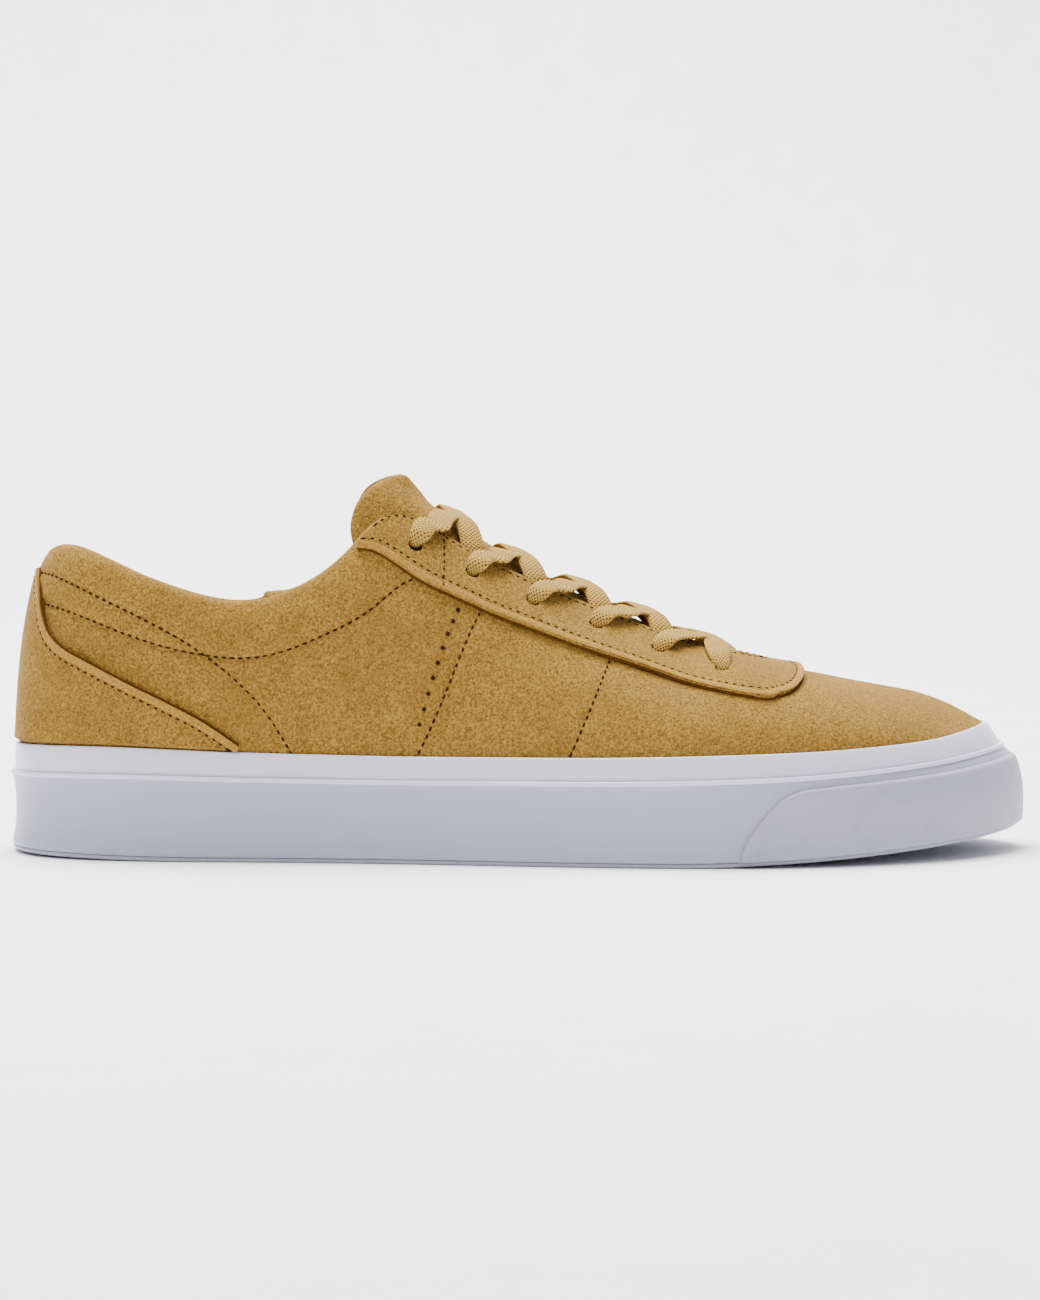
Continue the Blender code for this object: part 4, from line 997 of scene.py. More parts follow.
    def build_outsole(self) -> bpy.types.Object:
        """Make the tread plate with a round lip, hollowed between its lugs."""
        last = self.last
        stations = self.stations()
        x, _ = last.outline(stations, self.lip_inset)
        floor = last.floor_gap(x)
        loops = []
        for inset, rise in ((9.0, self.tread_depth), (6.0, self.tread_depth), (5.6, 0.0), (1.6, 0.0),
                            (0.75, 0.08), (0.48, 0.35), (0.42, 0.9), (0.7, 1.32), (1.4, 1.4)):
            loops.append(self.loop(inset, floor + rise))
        loops.append(self.loop(last.foxing_depth + last.gap, floor + self.lip_thickness))
        loops.append(self.loop(last.foxing_depth + last.gap, floor + 3.6))
        points, faces = self.capped(loops)
        piece = new_mesh("outsole_plate", points, faces, [self.wardrobe.rubber], sharp=50.0)
        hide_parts("outsole")
        return piece

    def build_tread(self) -> bpy.types.Object:
        """Make the lugs under the sole by Geometry Nodes, in a plain diamond field."""
        last = self.last
        inside_x, inside_y = last.outline(self.stations(), self.tread_margin)
        rows = []
        half = self.lug_pitch / 2
        count = 0
        x = inside_x.min() + 1.0
        while x < inside_x.max() - 1.0:
            near = np.abs(inside_x - x) < 1.6
            low, high = inside_y[near].min(), inside_y[near].max()
            first = low + (half if count % 2 else 0.0)
            ys = np.arange(first, high, self.lug_pitch)
            if len(ys):
                z = last.floor_gap(x) + self.tread_depth * 0.5
                rows.append(np.stack([np.full(ys.shape, x), ys, np.full(ys.shape, z)], axis=-1))
            x += half
            count += 1
        size = self.lug_pitch * self.lug_share
        shape = RepeatShape(length=size, width=size, height=self.tread_depth, sides=4, top=0.86)
        piece = stand_on_points("outsole_tread_lugs", np.concatenate(rows), shape, self.wardrobe.rubber)
        return piece

    def dress_slabs(self, nodes: dict[str, bpy.types.Object]) -> None:
        """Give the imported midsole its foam."""
        for slot in nodes["midsole"].material_slots:
            slot.material = self.wardrobe.foam

    def build_sock(self) -> bpy.types.Object:
        """Make the sock liner: cloth over foam, dished under the heel, round at its edge."""
        last, stations = self.last, self.stations()
        x, _ = last.outline(stations, last.foxing_depth + last.gap)
        base = last.midsole_top(x) + last.gap
        inset = last.foot_inset(stations, base + 4.0) + last.wall + 0.35
        loops = [self.loop(inset + 0.5, base), self.loop(inset, base + 0.6), self.loop(inset, base + 3.6)]
        edge = self.loop(inset + 0.8, base + 4.4)
        spine_x = np.clip(edge[:, 0], self.spine_heel, self.spine_toe)
        spine = np.stack([spine_x, np.full(len(edge), self.spine_side)], axis=-1)
        for share in np.linspace(0.0, 0.96, 26):
            ring = edge.copy()
            ring[:, :2] = edge[:, :2] * (1 - share) + spine * share
            x = ring[:, 0]
            sink = self.sock_dish * smooth_step(0.0, 0.5, share) * smooth_step(-20.0, -90.0, x)
            ring[:, 2] = last.midsole_top(x) + last.gap + self.sock_thickness + 0.25 * (1 - share) - sink
            loops.append(ring)
        points, faces = self.capped(loops)
        piece = new_mesh("sock_liner", points, faces, [self.wardrobe.sock], uv=points[:, :2] * MM)
        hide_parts("insole")
        return piece


# What repeats, by Geometry Nodes


@dataclass(frozen=True)
class RepeatShape:
    """A small shape that is repeated: sizes in mm, sides round it and rings along it."""

    length: float
    width: float
    height: float
    sides: int
    rings: int = 2
    top: float = 1.0

    def upright(self) -> bpy.types.Object:
        """Return a low prism that stands on its place, narrower at its foot."""
        points = []
        for level in np.linspace(-0.5, 0.5, self.rings):
            part = self.top + (1.0 - self.top) * (level + 0.5)
            for k in range(self.sides):
                turn = 2 * math.pi * k / self.sides
                points.append((self.length / 2 * part * math.cos(turn),
                               self.width / 2 * part * math.sin(turn), level * self.height))
        faces = tube_faces(self.rings, self.sides)
        return new_mesh("repeat_shape", np.array(points), faces, [], sharp=70.0)

    def lying(self) -> bpy.types.Object:
        """Return a round-ended stitch that lies along X and sinks at both ends."""
        points = [(-self.length / 2, 0.0, -self.height * 0.7)]
        for share in np.linspace(0.06, 0.94, self.rings):
            swell = math.sin(math.pi * share) ** 0.35
            middle = self.height * 0.7 * (math.sin(math.pi * share) - 1.0)
            for k in range(self.sides):
                turn = 2 * math.pi * k / self.sides
                points.append(((share - 0.5) * self.length, self.width / 2 * swell * math.cos(turn),
                               middle + self.height / 2 * swell * math.sin(turn)))
        points.append((self.length / 2, 0.0, -self.height * 0.7))
        faces = [tuple(f) for f in grid_faces(self.rings, self.sides, first=1, wrap=True)]
        end = len(points) - 1
        for k in range(self.sides):
            after = (k + 1) % self.sides
            faces.append((0, 1 + after, 1 + k))
            faces.append((end, end - self.sides + k, end - self.sides + after))
        return new_mesh("repeat_shape", np.array(points), [f[::-1] for f in faces], [], sharp=80.0)


def repeat_tree(along_path: bool, upright: bool) -> tuple[bpy.types.NodeTree, dict[str, str]]:
    """Build the node tree that repeats a shape along paths or on points.

    Args:
        along_path: Whether the input is edges to follow, or loose points.
        upright: Whether the shape stays upright, or takes each point's stored normal.

    Returns:
        The tree and the identifiers of its inputs by name.
    """
    tree = bpy.data.node_groups.new("repeat_a_shape", "GeometryNodeTree")
    face = tree.interface
    face.new_socket("Geometry", in_out="OUTPUT", socket_type="NodeSocketGeometry")
    sockets = {"Geometry": face.new_socket("Geometry", in_out="INPUT", socket_type="NodeSocketGeometry")}
    for name, kind in (("Shape", "NodeSocketObject"), ("Pitch", "NodeSocketFloat"),
                       ("Unevenness", "NodeSocketFloat"), ("Material", "NodeSocketMaterial")):
        sockets[name] = face.new_socket(name, in_out="INPUT", socket_type=kind)
    names = {name: socket.identifier for name, socket in sockets.items()}
    inside = add_node(tree, "NodeGroupInput").outputs
    shape = add_node(tree, "GeometryNodeObjectInfo", {"transform_space": "ORIGINAL"},
                     {"Object": inside["Shape"]}).outputs["Geometry"]
    up = add_node(tree, "GeometryNodeInputNamedAttribute", {"data_type": "FLOAT_VECTOR"},
                  {"Name": "stand"}).outputs["Attribute"]
    places: bpy.types.NodeSocket = inside["Geometry"]
    turn = add_node(tree, "FunctionNodeInputVector", {"vector": (0.0, 0.0, 0.0)}).outputs[0]
    if along_path:
        curve = add_node(tree, "GeometryNodeMeshToCurve", {}, {"Mesh": inside["Geometry"]})
        points = add_node(tree, "GeometryNodeCurveToPoints", {"mode": "LENGTH"},
                          {"Curve": curve.outputs["Curve"], "Length": inside["Pitch"]})
        places = points.outputs["Points"]
        first = add_node(tree, "FunctionNodeAlignRotationToVector", {"axis": "X"},
                         {"Vector": points.outputs["Tangent"]}).outputs["Rotation"]
        axis = up
        if upright:
            axis = add_node(tree, "FunctionNodeInputVector", {"vector": (0.0, 0.0, 1.0)}).outputs[0]
        turn = add_node(tree, "FunctionNodeAlignRotationToVector", {"axis": "Z", "pivot_axis": "X"},
                        {"Rotation": first, "Vector": axis}).outputs["Rotation"]
    else:
        places = add_node(tree, "GeometryNodeMeshToPoints", {}, {"Mesh": places}).outputs["Points"]
        if not upright:
            turn = add_node(tree, "FunctionNodeAlignRotationToVector", {"axis": "Z"},
                            {"Vector": up}).outputs["Rotation"]
    low = add_node(tree, "ShaderNodeMath", {"operation": "SUBTRACT"}, {0: 1.0, 1: inside["Unevenness"]})
    high = add_node(tree, "ShaderNodeMath", {"operation": "ADD"}, {0: 1.0, 1: inside["Unevenness"]})
    uneven = add_node(tree, "FunctionNodeRandomValue", {"data_type": "FLOAT"},
                      {2: low.outputs[0], 3: high.outputs[0], "Seed": 7})
    placed = add_node(tree, "GeometryNodeInstanceOnPoints", {},
                      {"Points": places, "Instance": shape, "Rotation": turn, "Scale": uneven.outputs[1]})
    real = add_node(tree, "GeometryNodeRealizeInstances", {}, {"Geometry": placed.outputs["Instances"]})
    dyed = add_node(tree, "GeometryNodeSetMaterial", {},
                    {"Geometry": real.outputs["Geometry"], "Material": inside["Material"]})
    add_node(tree, "NodeGroupOutput", {}, {"Geometry": dyed.outputs["Geometry"]})
    return tree, names


def run_repeat(
    name: str, carrier: bpy.types.Object, shape: bpy.types.Object, pitch: float, uneven: float,
    material: bpy.types.Material, along_path: bool, upright: bool,
) -> bpy.types.Object:
    """Run the repeating tree on a carrier and return the result as a plain mesh piece."""
    tree, names = repeat_tree(along_path, upright)
    nodes = carrier.modifiers.new("repeat", "NODES")
    nodes.node_group = tree
    nodes[names["Shape"]] = shape
    nodes[names["Pitch"]] = pitch * MM
    nodes[names["Unevenness"]] = uneven
    nodes[names["Material"]] = material
    piece = plain_copy(name, carrier, shape)
    if not piece.data.materials:
        piece.data.materials.append(material)
    return piece


def path_carrier(rows: Sequence[np.ndarray], stands: Sequence[np.ndarray] | None) -> bpy.types.Object:
    """Return a mesh of loose edges through rows of points, with a stored direction."""
    points = np.concatenate(list(rows))
    edges, start = [], 0
    for row in rows:
        edges += [(start + k, start + k + 1) for k in range(len(row) - 1)]
        start += len(row)
    mesh = bpy.data.meshes.new("path")
    mesh.from_pydata((points * MM).tolist(), edges, [])
    layer = mesh.attributes.new("stand", "FLOAT_VECTOR", "POINT")
    up = np.tile((0.0, 0.0, 1.0), (len(points), 1)) if stands is None else np.concatenate(list(stands))
    layer.data.foreach_set("vector", np.asarray(up, dtype=np.float32).ravel())
    return new_object("path", mesh)


def follow_path(
    name: str, rows: Sequence[np.ndarray], shape: RepeatShape, pitch: float,
    material: bpy.types.Material, upright: bool, stands: Sequence[np.ndarray] | None = None,
    uneven: float = 0.0,
) -> bpy.types.Object:
    """Repeat a shape along rows of points, upright or lying on their stored directions."""
    body = shape.upright() if upright else shape.lying()
    return run_repeat(name, path_carrier(rows, stands), body, pitch, uneven, material, True, upright)


def stand_on_points(
    name: str, points: np.ndarray, shape: RepeatShape, material: bpy.types.Material,
    stands: np.ndarray | None = None,
) -> bpy.types.Object:
    """Repeat an upright shape on loose points, along their stored directions."""
    carrier = path_carrier(points[:, None], None if stands is None else stands[:, None])
    return run_repeat(name, carrier, shape.upright(), 1.0, 0.0, material, False, stands is None)


# Upper


@dataclass
class UpperShell:
    """The hollow suede wall with its seams and rolled collar, lined with cloth."""

    last: Last
    wardrobe: Wardrobe
    outer_rows: int = 84
    inner_rows: int = 18
    puff: float = 1.1
    groove: float = 0.38
    groove_width: float = 0.8
    pucker: float = 0.14
    wander: float = 0.16

    def half_round(self) -> np.ndarray:
        """Return the lateral stations, close together where the throat closes."""
        last = self.last
        start = last.throat_front - last.throat_radius
        turns = np.sin(np.linspace(0.0, math.pi / 2, 24))
        side = np.linspace(0.0, last.station_at(start), 230, endpoint=False)
        throat = [last.station_at(start + last.throat_radius * turn) for turn in turns]
        front = np.linspace(last.throat_station, TOE, 108)[1:]
        return np.concatenate([side, throat, front])

    def seam_points(self) -> np.ndarray:
        """Return dense points along every stitched seam of both sides."""
        points = []
        for line in (COLLAR_SEAM, QUARTER_SEAM, BACK_PANEL_SEAM, FRONT_PANEL_SEAM):
            station, rise = line_places(line, 500)
            points += [self.last.face(station, rise), self.last.face(mirrored(station), rise)]
        return np.concatenate(points)

    def relief(self, station: np.ndarray, rise: np.ndarray, points: np.ndarray) -> np.ndarray:
        """Return how far the suede stands out from its plain face."""
        around = np.mod(station, ROUND)
        side = np.minimum(around, ROUND - around)
        seam = np.array(COLLAR_SEAM)
        low = np.interp(side, seam[:, 0], seam[:, 1])
        share = np.clip((rise - low) / (1.0 - low), 0.0, 1.0)
        padded = np.clip(self.last.curves["pad"](station), 0.0, 1.0)
        puff = self.puff * padded * np.sin(math.pi * share) ** 0.8
        gaps = nearest_distance(points, self.seam_points())
        groove = self.pucker * np.exp(-(((gaps - 2.6) / 1.3) ** 2))
        groove = groove - self.groove * np.exp(-((gaps / self.groove_width) ** 2))
        x, y, z = np.moveaxis(points, -1, 0)
        wave = np.sin(x / 17 + z / 11) + np.sin(z / 13 - x / 29 + 1.3) + np.sin(y / 15 + x / 21)
        held = smooth_step(0.0, 0.12, rise) * (1.0 - smooth_step(0.88, 1.0, rise))
        return puff + (groove + self.wander * wave) * held

    def rim(self, stations: np.ndarray, edge: np.ndarray, top: np.ndarray) -> np.ndarray:
        """Return the rows that roll over the collar and throat, for the open columns."""
        last = self.last
        normal = last.normal(stations, np.ones(stations.shape))[edge]
        half = last.thickness(stations, 1.0)[edge][:, None] / 2
        tops = top[edge]
        across = unit(np.cross(np.roll(tops, 1, axis=0) - np.roll(tops, -1, axis=0), normal))
        rows = []
        for swing in np.radians(np.linspace(0, 180, 9)[1:-1]):
            row = np.zeros((len(stations), 3))
            reach = half * (math.cos(swing) - 1.0)
            row[edge] = tops + normal * reach + across * half * 0.9 * math.sin(swing)
            rows.append(row)
        return np.array(rows)

    def build(self) -> bpy.types.Object:
        """Build the wall.

        Returns:
            The shell, with suede outside and over its rim and lining inside.
        """
        last = self.last
        half = self.half_round()
        stations = np.concatenate([half, ROUND - half[-2:0:-1]])
        count, middle = len(stations), len(half) - 1
        throat = int(np.argmin(np.abs(half - last.throat_station)))
        rises = np.concatenate([[-1.0, -0.5, -0.08], np.linspace(0.0, 1.0, self.outer_rows)])
        places = np.broadcast_arrays(stations[None, :], rises[:, None])
        outer = last.face(*places)
        outer = outer + last.normal(*places) * self.relief(*places, outer)[..., None]
        edge = np.concatenate([np.arange(throat + 1), np.arange(count - throat + 1, count)])
        rim = self.rim(stations, edge, outer[-1])
        depths = np.concatenate([np.linspace(1.0, 0.0, self.inner_rows), [-1.0]])
        places = np.broadcast_arrays(stations[None, :], depths[:, None])
        inner = last.offset(*places, -last.thickness(*places))
        inner[-1, :, 2] = np.maximum(outer[0, :, 2], last.midsole_top(inner[-1, :, 0]) + last.gap)
        layers = np.concatenate([outer, rim, inner])
        rows_outer, rows_rim = len(outer), len(rim)
        index = np.arange(len(layers) * count).reshape(len(layers), count)
        ridge = np.arange(middle + 1, count - throat + 1)
        for row in (rows_outer - 1, rows_outer + rows_rim):
            index[row, ridge] = index[row, count - ridge]
        for row in range(rows_outer, rows_outer + rows_rim):
            index[row, count - throat] = index[row, throat]
        after = np.roll(index, -1, axis=1)
        quads = np.stack([index[:-1], after[:-1], after[1:], index[1:]], axis=-1)
        opened = np.ones(count, dtype=bool)
        opened[throat:count - throat] = False
        keep = np.ones(quads.shape[:2], dtype=bool)
        keep[rows_outer - 1:rows_outer + rows_rim] = opened
        under = np.stack([index[-1], after[-1], after[0], index[0]], axis=-1)
        lined = np.zeros(quads.shape[:2], dtype=int)
        lined[rows_outer + rows_rim:] = 1
        faces = np.concatenate([quads[keep], under])
        slots = np.concatenate([lined[keep], np.zeros(count, dtype=int)])
        along = np.broadcast_to(run_along(np.stack(last.outline(stations, 0.0), axis=-1)), index.shape)
        uv = np.stack([along.ravel(), layers[..., 2].ravel()], axis=-1) * MM
        materials = [self.wardrobe.suede, self.wardrobe.lining]
        piece = new_mesh("upper_shell", layers.reshape(-1, 3), faces, materials, slots, uv, sharp=70.0)
        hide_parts("upper")
        return piece

    def build_padding(self) -> bpy.types.Object:
        """Build the soft lining panel inside the collar, fullest at its middle."""
        last = self.last
        station, rise = np.meshgrid(np.linspace(6.6, -6.6, 220), np.linspace(0.42, 0.93, 40))
        depth = -last.thickness(station, rise)
        face = last.offset(station, rise, depth)
        full = rounded_edge(face, 9.0)
        outer = last.offset(station, rise, depth + 0.3 - 1.5 * full)
        inner = last.offset(station, rise, depth + 0.8)
        points, faces = closed_patch(outer, inner)
        uv = np.tile(np.stack([station.ravel() * 12.0, face[..., 2].ravel()], axis=-1) * MM, (2, 1))
        piece = new_mesh("collar_lining_pad", points, faces, [self.wardrobe.lining], uv=uv)
        return piece


@dataclass
class Panel:
    """A suede panel laid over the upper, between a lower and an upper line."""

    last: Last
    wardrobe: Wardrobe
    thickness: float = 2.0
    edge_radius: float = 0.9
    seat: float = 0.1

    def places(self) -> tuple[np.ndarray, np.ndarray]:
        """Return the grids of stations and rises, rows climbing and columns going round."""
        raise NotImplementedError

    def surface(self) -> tuple[np.ndarray, np.ndarray]:
        """Return the outer and inner points of the panel."""
        station, rise = self.places()
        face = self.last.face(station, rise)
        full = rounded_edge(face, self.edge_radius)
        height = self.seat + (self.thickness - self.seat) * full
        outer = self.last.offset(station, rise, height)
        return outer, self.last.offset(station, rise, self.seat - 0.4)

    def inset_line(
        self, distance: float, from_top: bool, lift: float | None = None
    ) -> tuple[np.ndarray, np.ndarray]:
        """Return points and normals a distance inside the panel's lower or upper line.

        Args:
            distance: How far inside the line, in mm.
            from_top: Whether the line is the upper one.
            lift: Height above the upper's face, or none for the panel's own face.

        Returns:
            The points, and the normals there.
        """
        lift = self.thickness - 0.05 if lift is None else lift
        station, rise = self.places()
        run = run_along(self.last.face(station, rise))
        if from_top:
            run = run[-1:] - run
        order = slice(None, None, -1 if from_top else 1)
        line = []
        for column in range(run.shape[1]):
            steps = run[order, column]
            if steps[-1] < 1.1 * distance:
                continue
            line.append((np.interp(distance, steps, station[order, column]),
                         np.interp(distance, steps, rise[order, column])))
        places = np.array(line)
        normal = self.last.normal(places[:, 0], places[:, 1])
        return self.last.offset(places[:, 0], places[:, 1], np.full(len(places), lift)), normal


@dataclass
class Facing(Panel):
    """The U-shaped facing round the throat, with its punched eyelets."""

    columns: int = 240
    rows: int = 44
    back_station: float = 6.75
    straight_share: float = 0.72
    eyelet_diameter: float = 4.4

    def places(self) -> tuple[np.ndarray, np.ndarray]:
        """Return the facing's grid, from its lower edge up to the throat."""
        last = self.last
        share = np.linspace(0.0, 1.0, self.columns)
        edge = spline(np.array(FACING_EDGE), share)
        back = float(last.curves["top_x"](self.back_station))
        front = last.throat_front - last.throat_radius
        turn = np.clip((share - self.straight_share) / (1.0 - self.straight_share), 0.0, 1.0)
        throat_x = back + (front - back) * np.clip(share / self.straight_share, 0.0, 1.0)
        throat_x = throat_x + last.throat_radius * np.sin(turn * math.pi / 2)
        throat = np.array([last.station_at(x) for x in throat_x])
        rows = (0.5 - 0.5 * np.cos(np.linspace(0.0, math.pi, self.rows)))[:, None]
        station = edge[:, 0] * (1.0 - rows) + throat * rows
        rise = edge[:, 1] * (1.0 - rows) + rows
        station = np.concatenate([station, ROUND - station[:, -2::-1]], axis=1)
        return station, np.concatenate([rise, rise[:, -2::-1]], axis=1)

    def eyelet_places(self) -> tuple[np.ndarray, np.ndarray]:
        """Return the centres of the eyelets on the upper's face and their normals."""
        rows = np.array(EYELETS)
        station = np.concatenate([rows[:, 0], mirrored(rows[:, 0])])
        rise = np.tile(rows[:, 1], 2)
        return self.last.face(station, rise), self.last.normal(station, rise)

    def build(self) -> bpy.types.Object:
        """Build the facing and punch its eyelets."""
        outer, inner = self.surface()
        points, faces = closed_patch(outer, inner)
        whole = new_mesh("facing_blank", points, faces, [self.wardrobe.suede])
        centres, normals = self.eyelet_places()
        shape = RepeatShape(self.eyelet_diameter, self.eyelet_diameter, 9.0, sides=28)
        punch = stand_on_points("eyelet_punch", centres, shape, self.wardrobe.edge_highlight, normals)
        cut = whole.modifiers.new("eyelets", "BOOLEAN")
        cut.object, cut.operation, cut.solver = punch, "DIFFERENCE", "EXACT"
        piece = plain_copy("facing", whole, punch)
        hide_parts("eyestay")
        return piece

    def build_hollows(self) -> bpy.types.Object:
        """Build discs of painted shade seen through the eyelets, by Geometry Nodes."""
        centres, normals = self.eyelet_places()
        # The discs take the near-black finish: painted shade for the inside of the holes
        wide, hollow = self.eyelet_diameter + 0.4, self.wardrobe.hollow
        shape = RepeatShape(wide, wide, 0.8, sides=24)
        piece = stand_on_points("eyelet_hollows", centres + normals * 0.25, shape, hollow, normals)
        return piece


@dataclass
class Counter(Panel):
    """The counter round the heel, with its strip up the back seam."""

    columns: int = 170
    rows: int = 60
    thickness: float = 1.7
    foot_rise: float = 0.012

    def places(self) -> tuple[np.ndarray, np.ndarray]:
        """Return the counter's grid, from the foxing up to its rolled edge."""
        edge = spline(np.array(COUNTER_EDGE), np.linspace(0.0, 1.0, self.columns))
        station = np.concatenate([-edge[:0:-1, 0], edge[:, 0]])
        top = np.concatenate([edge[:0:-1, 1], edge[:, 1]])
        rows = np.sin(np.linspace(0.0, math.pi / 2, self.rows))[:, None]
        low = self.foot_rise
        rise = low + (np.maximum(top, low + 0.02) - low) * rows
        return np.broadcast_to(station, rise.shape), rise

    def build(self) -> bpy.types.Object:
        """Build the counter."""
        outer, inner = self.surface()
        points, faces = closed_patch(outer, inner)
        piece = new_mesh("heel_counter_panel", points, faces, [self.wardrobe.suede])
        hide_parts("heel_counter")
        return piece


@dataclass
class EdgeCord:
    """The edge of a panel: a strip on it painted pale as highlight, and its side below painted dark as shade.
    """

    wardrobe: Wardrobe
    highlight_inset: float = 1.3
    highlight_size: tuple[float, float] = (2.1, 0.42)
    shade_lift: float = 0.5
    shade_size: tuple[float, float] = (0.8, 1.1)
    sides: int = 10

    def dress(self, name: str, panel: Panel, from_top: bool) -> list[bpy.types.Object]:
        """Build both strips along one edge of a panel."""
        highlight_line = panel.inset_line(self.highlight_inset, from_top)
        side = panel.inset_line(0.0, from_top, self.shade_lift)
        # The pale strip is a painted highlight on the edge's rounded top; the dark strip is painted shade on
        # its side
        return [self.strip(f"{name}_worn_edge", *highlight_line, *self.highlight_size, self.wardrobe.edge_highlight),
                self.strip(f"{name}_dyed_side", *side, *self.shade_size, self.wardrobe.painted_shade_edge)]

    def strip(
        self, name: str, points: np.ndarray, normals: np.ndarray, width: float, height: float,
        material: bpy.types.Material,
    ) -> bpy.types.Object:
        """Build one round-edged strip along points, flat against its normals."""
        ahead = unit(np.gradient(points, axis=0))
        side = unit(np.cross(normals, ahead))
        rings = []
        for k in range(self.sides):
            turn = 2 * math.pi * k / self.sides
            rings.append(points + side * math.cos(turn) * width / 2
                         + normals * math.sin(turn) * height / 2)
        grid = np.stack(rings, axis=1)
        faces = [face[::-1] for face in tube_faces(len(points), self.sides)]
        piece = new_mesh(name, grid.reshape(-1, 3), faces, [material], sharp=80.0)
        return piece


@dataclass
class Tongue:
    """The padded tongue, from under the vamp up past the facing."""

    last: Last
    wardrobe: Wardrobe
    thickness: float = 5.0
    rise: float = 12.6
    angle: float = 50.0
    wrap: float = 13.0
    sweep: float = 24.0
    droop: float = 3.0
    taper: float = 0.17
    crown: float = 3.4
    puff: float = 2.6
    seat: float = 1.25
    points: int = 13

    def section(self, station: float) -> np.ndarray:
        """Return the tongue's top face across the shoe under one station."""
        last = self.last
        rises = np.linspace(1.0 - self.wrap / 60.0, 1.0, 5)
        below = -(last.wall + self.seat)
        deep = below - last.collar_pad * last.curves["pad"](station)
        near = last.offset(np.full(5, station), rises, np.full(5, deep))
        far = last.offset(np.full(5, ROUND - station), rises, np.full(5, deep))
        line = [near, far[::-1]]
        if station < last.throat_station:
            shares = np.array([0.15, 0.3, 0.5, 0.7, 0.85])
            crown = self.crown * (1.0 - smooth_step(7.6, 9.4, station)) + self.puff
            puff = crown * 4.0 * shares * (1.0 - shares)
            arch, _ = last.arch_offset(np.full(5, station), shares, below + puff)
            line = [near, arch, far[::-1]]
        joined = np.concatenate(line)
        gaps = np.linalg.norm(np.diff(joined, axis=0), axis=1)
        joined = joined[np.concatenate([[True], gaps > 0.05])]
        run = run_along(joined)
        wanted = np.linspace(0.0, run[-1], self.points)
        return np.stack([np.interp(wanted, run, joined[:, k]) for k in range(3)], axis=-1)

    def top_face(self) -> np.ndarray:
        """Return the grid of the tongue's upper face, from the vamp to its free end."""
        throat = self.last.throat_station
        stations = (throat + 0.25, throat - 0.1, 11.0, 10.4, 9.8, 9.2, 8.6, 8.1, 7.75)
        sections = [self.section(station) for station in stations]
        end = sections[-1]
        centre = end[:, 1].mean()
        side = np.abs(np.linspace(-1.0, 1.0, self.points))
        angle = math.radians(self.angle)
        for share in (0.3, 0.6, 0.85, 1.0):
            moved = end.copy()
            swept = self.sweep * share * (side * 0.8 + 0.2 * np.sin(math.pi * side))
            moved[:, 0] -= self.rise * share * math.cos(angle) + swept
            moved[:, 1] = centre + (moved[:, 1] - centre) * (1.0 - self.taper * share)
            moved[:, 2] += self.rise * share * math.sin(angle) - self.droop * share * side**2
            sections.append(moved)
        grid = np.array(sections)
        for _ in range(2):
            rows, columns, _ = grid.shape
            count = 110 if rows < 20 else 72
            grid = spline(grid.reshape(rows, columns * 3), np.linspace(0.0, 1.0, count))
            grid = np.swapaxes(grid.reshape(count, columns, 3), 0, 1)
        return grid

    def build(self) -> list[bpy.types.Object]:
        """Build the tongue's suede front and its thin lining behind."""
        top = self.top_face()
        normal = unit(np.cross(np.gradient(top, axis=1), np.gradient(top, axis=0)))
        if normal[..., 2].mean() < 0:
            normal = -normal
        full = rounded_edge(top, 2.6)[..., None]
        swell = np.interp(np.linspace(0, 12, len(top)), [0, 1, 8, 11, 12], [0.5, 0.8, 1.0, 1.0, 0.62])
        depth = self.thickness * swell[:, None, None]
        middle = top - normal * depth * 0.5
        front = middle + normal * depth * 0.5 * full
        seam = middle - normal * depth * 0.1 * full
        back = middle - normal * depth * 0.5 * full
        pieces = []
        for name, upper, lower, material in (
            ("tongue_front", front, seam, self.wardrobe.suede),
            ("tongue_lining", seam + normal * 0.05, back, self.wardrobe.lining),
        ):
            flip = np.cross(upper[1, 1] - upper[1, 0], upper[2, 0] - upper[1, 0])[2] < 0
            order = slice(None, None, -1) if flip else slice(None)
            points, faces = closed_patch(upper[:, order], lower[:, order])
            flat = upper[:, order].reshape(-1, 3)
            uv = np.tile(np.stack([flat[:, 0] * 1.1, flat[:, 1]], axis=-1) * MM, (2, 1))
            piece = new_mesh(name, points, faces, [material], uv=uv)
            pieces.append(piece)
        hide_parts("tongue")
        return pieces


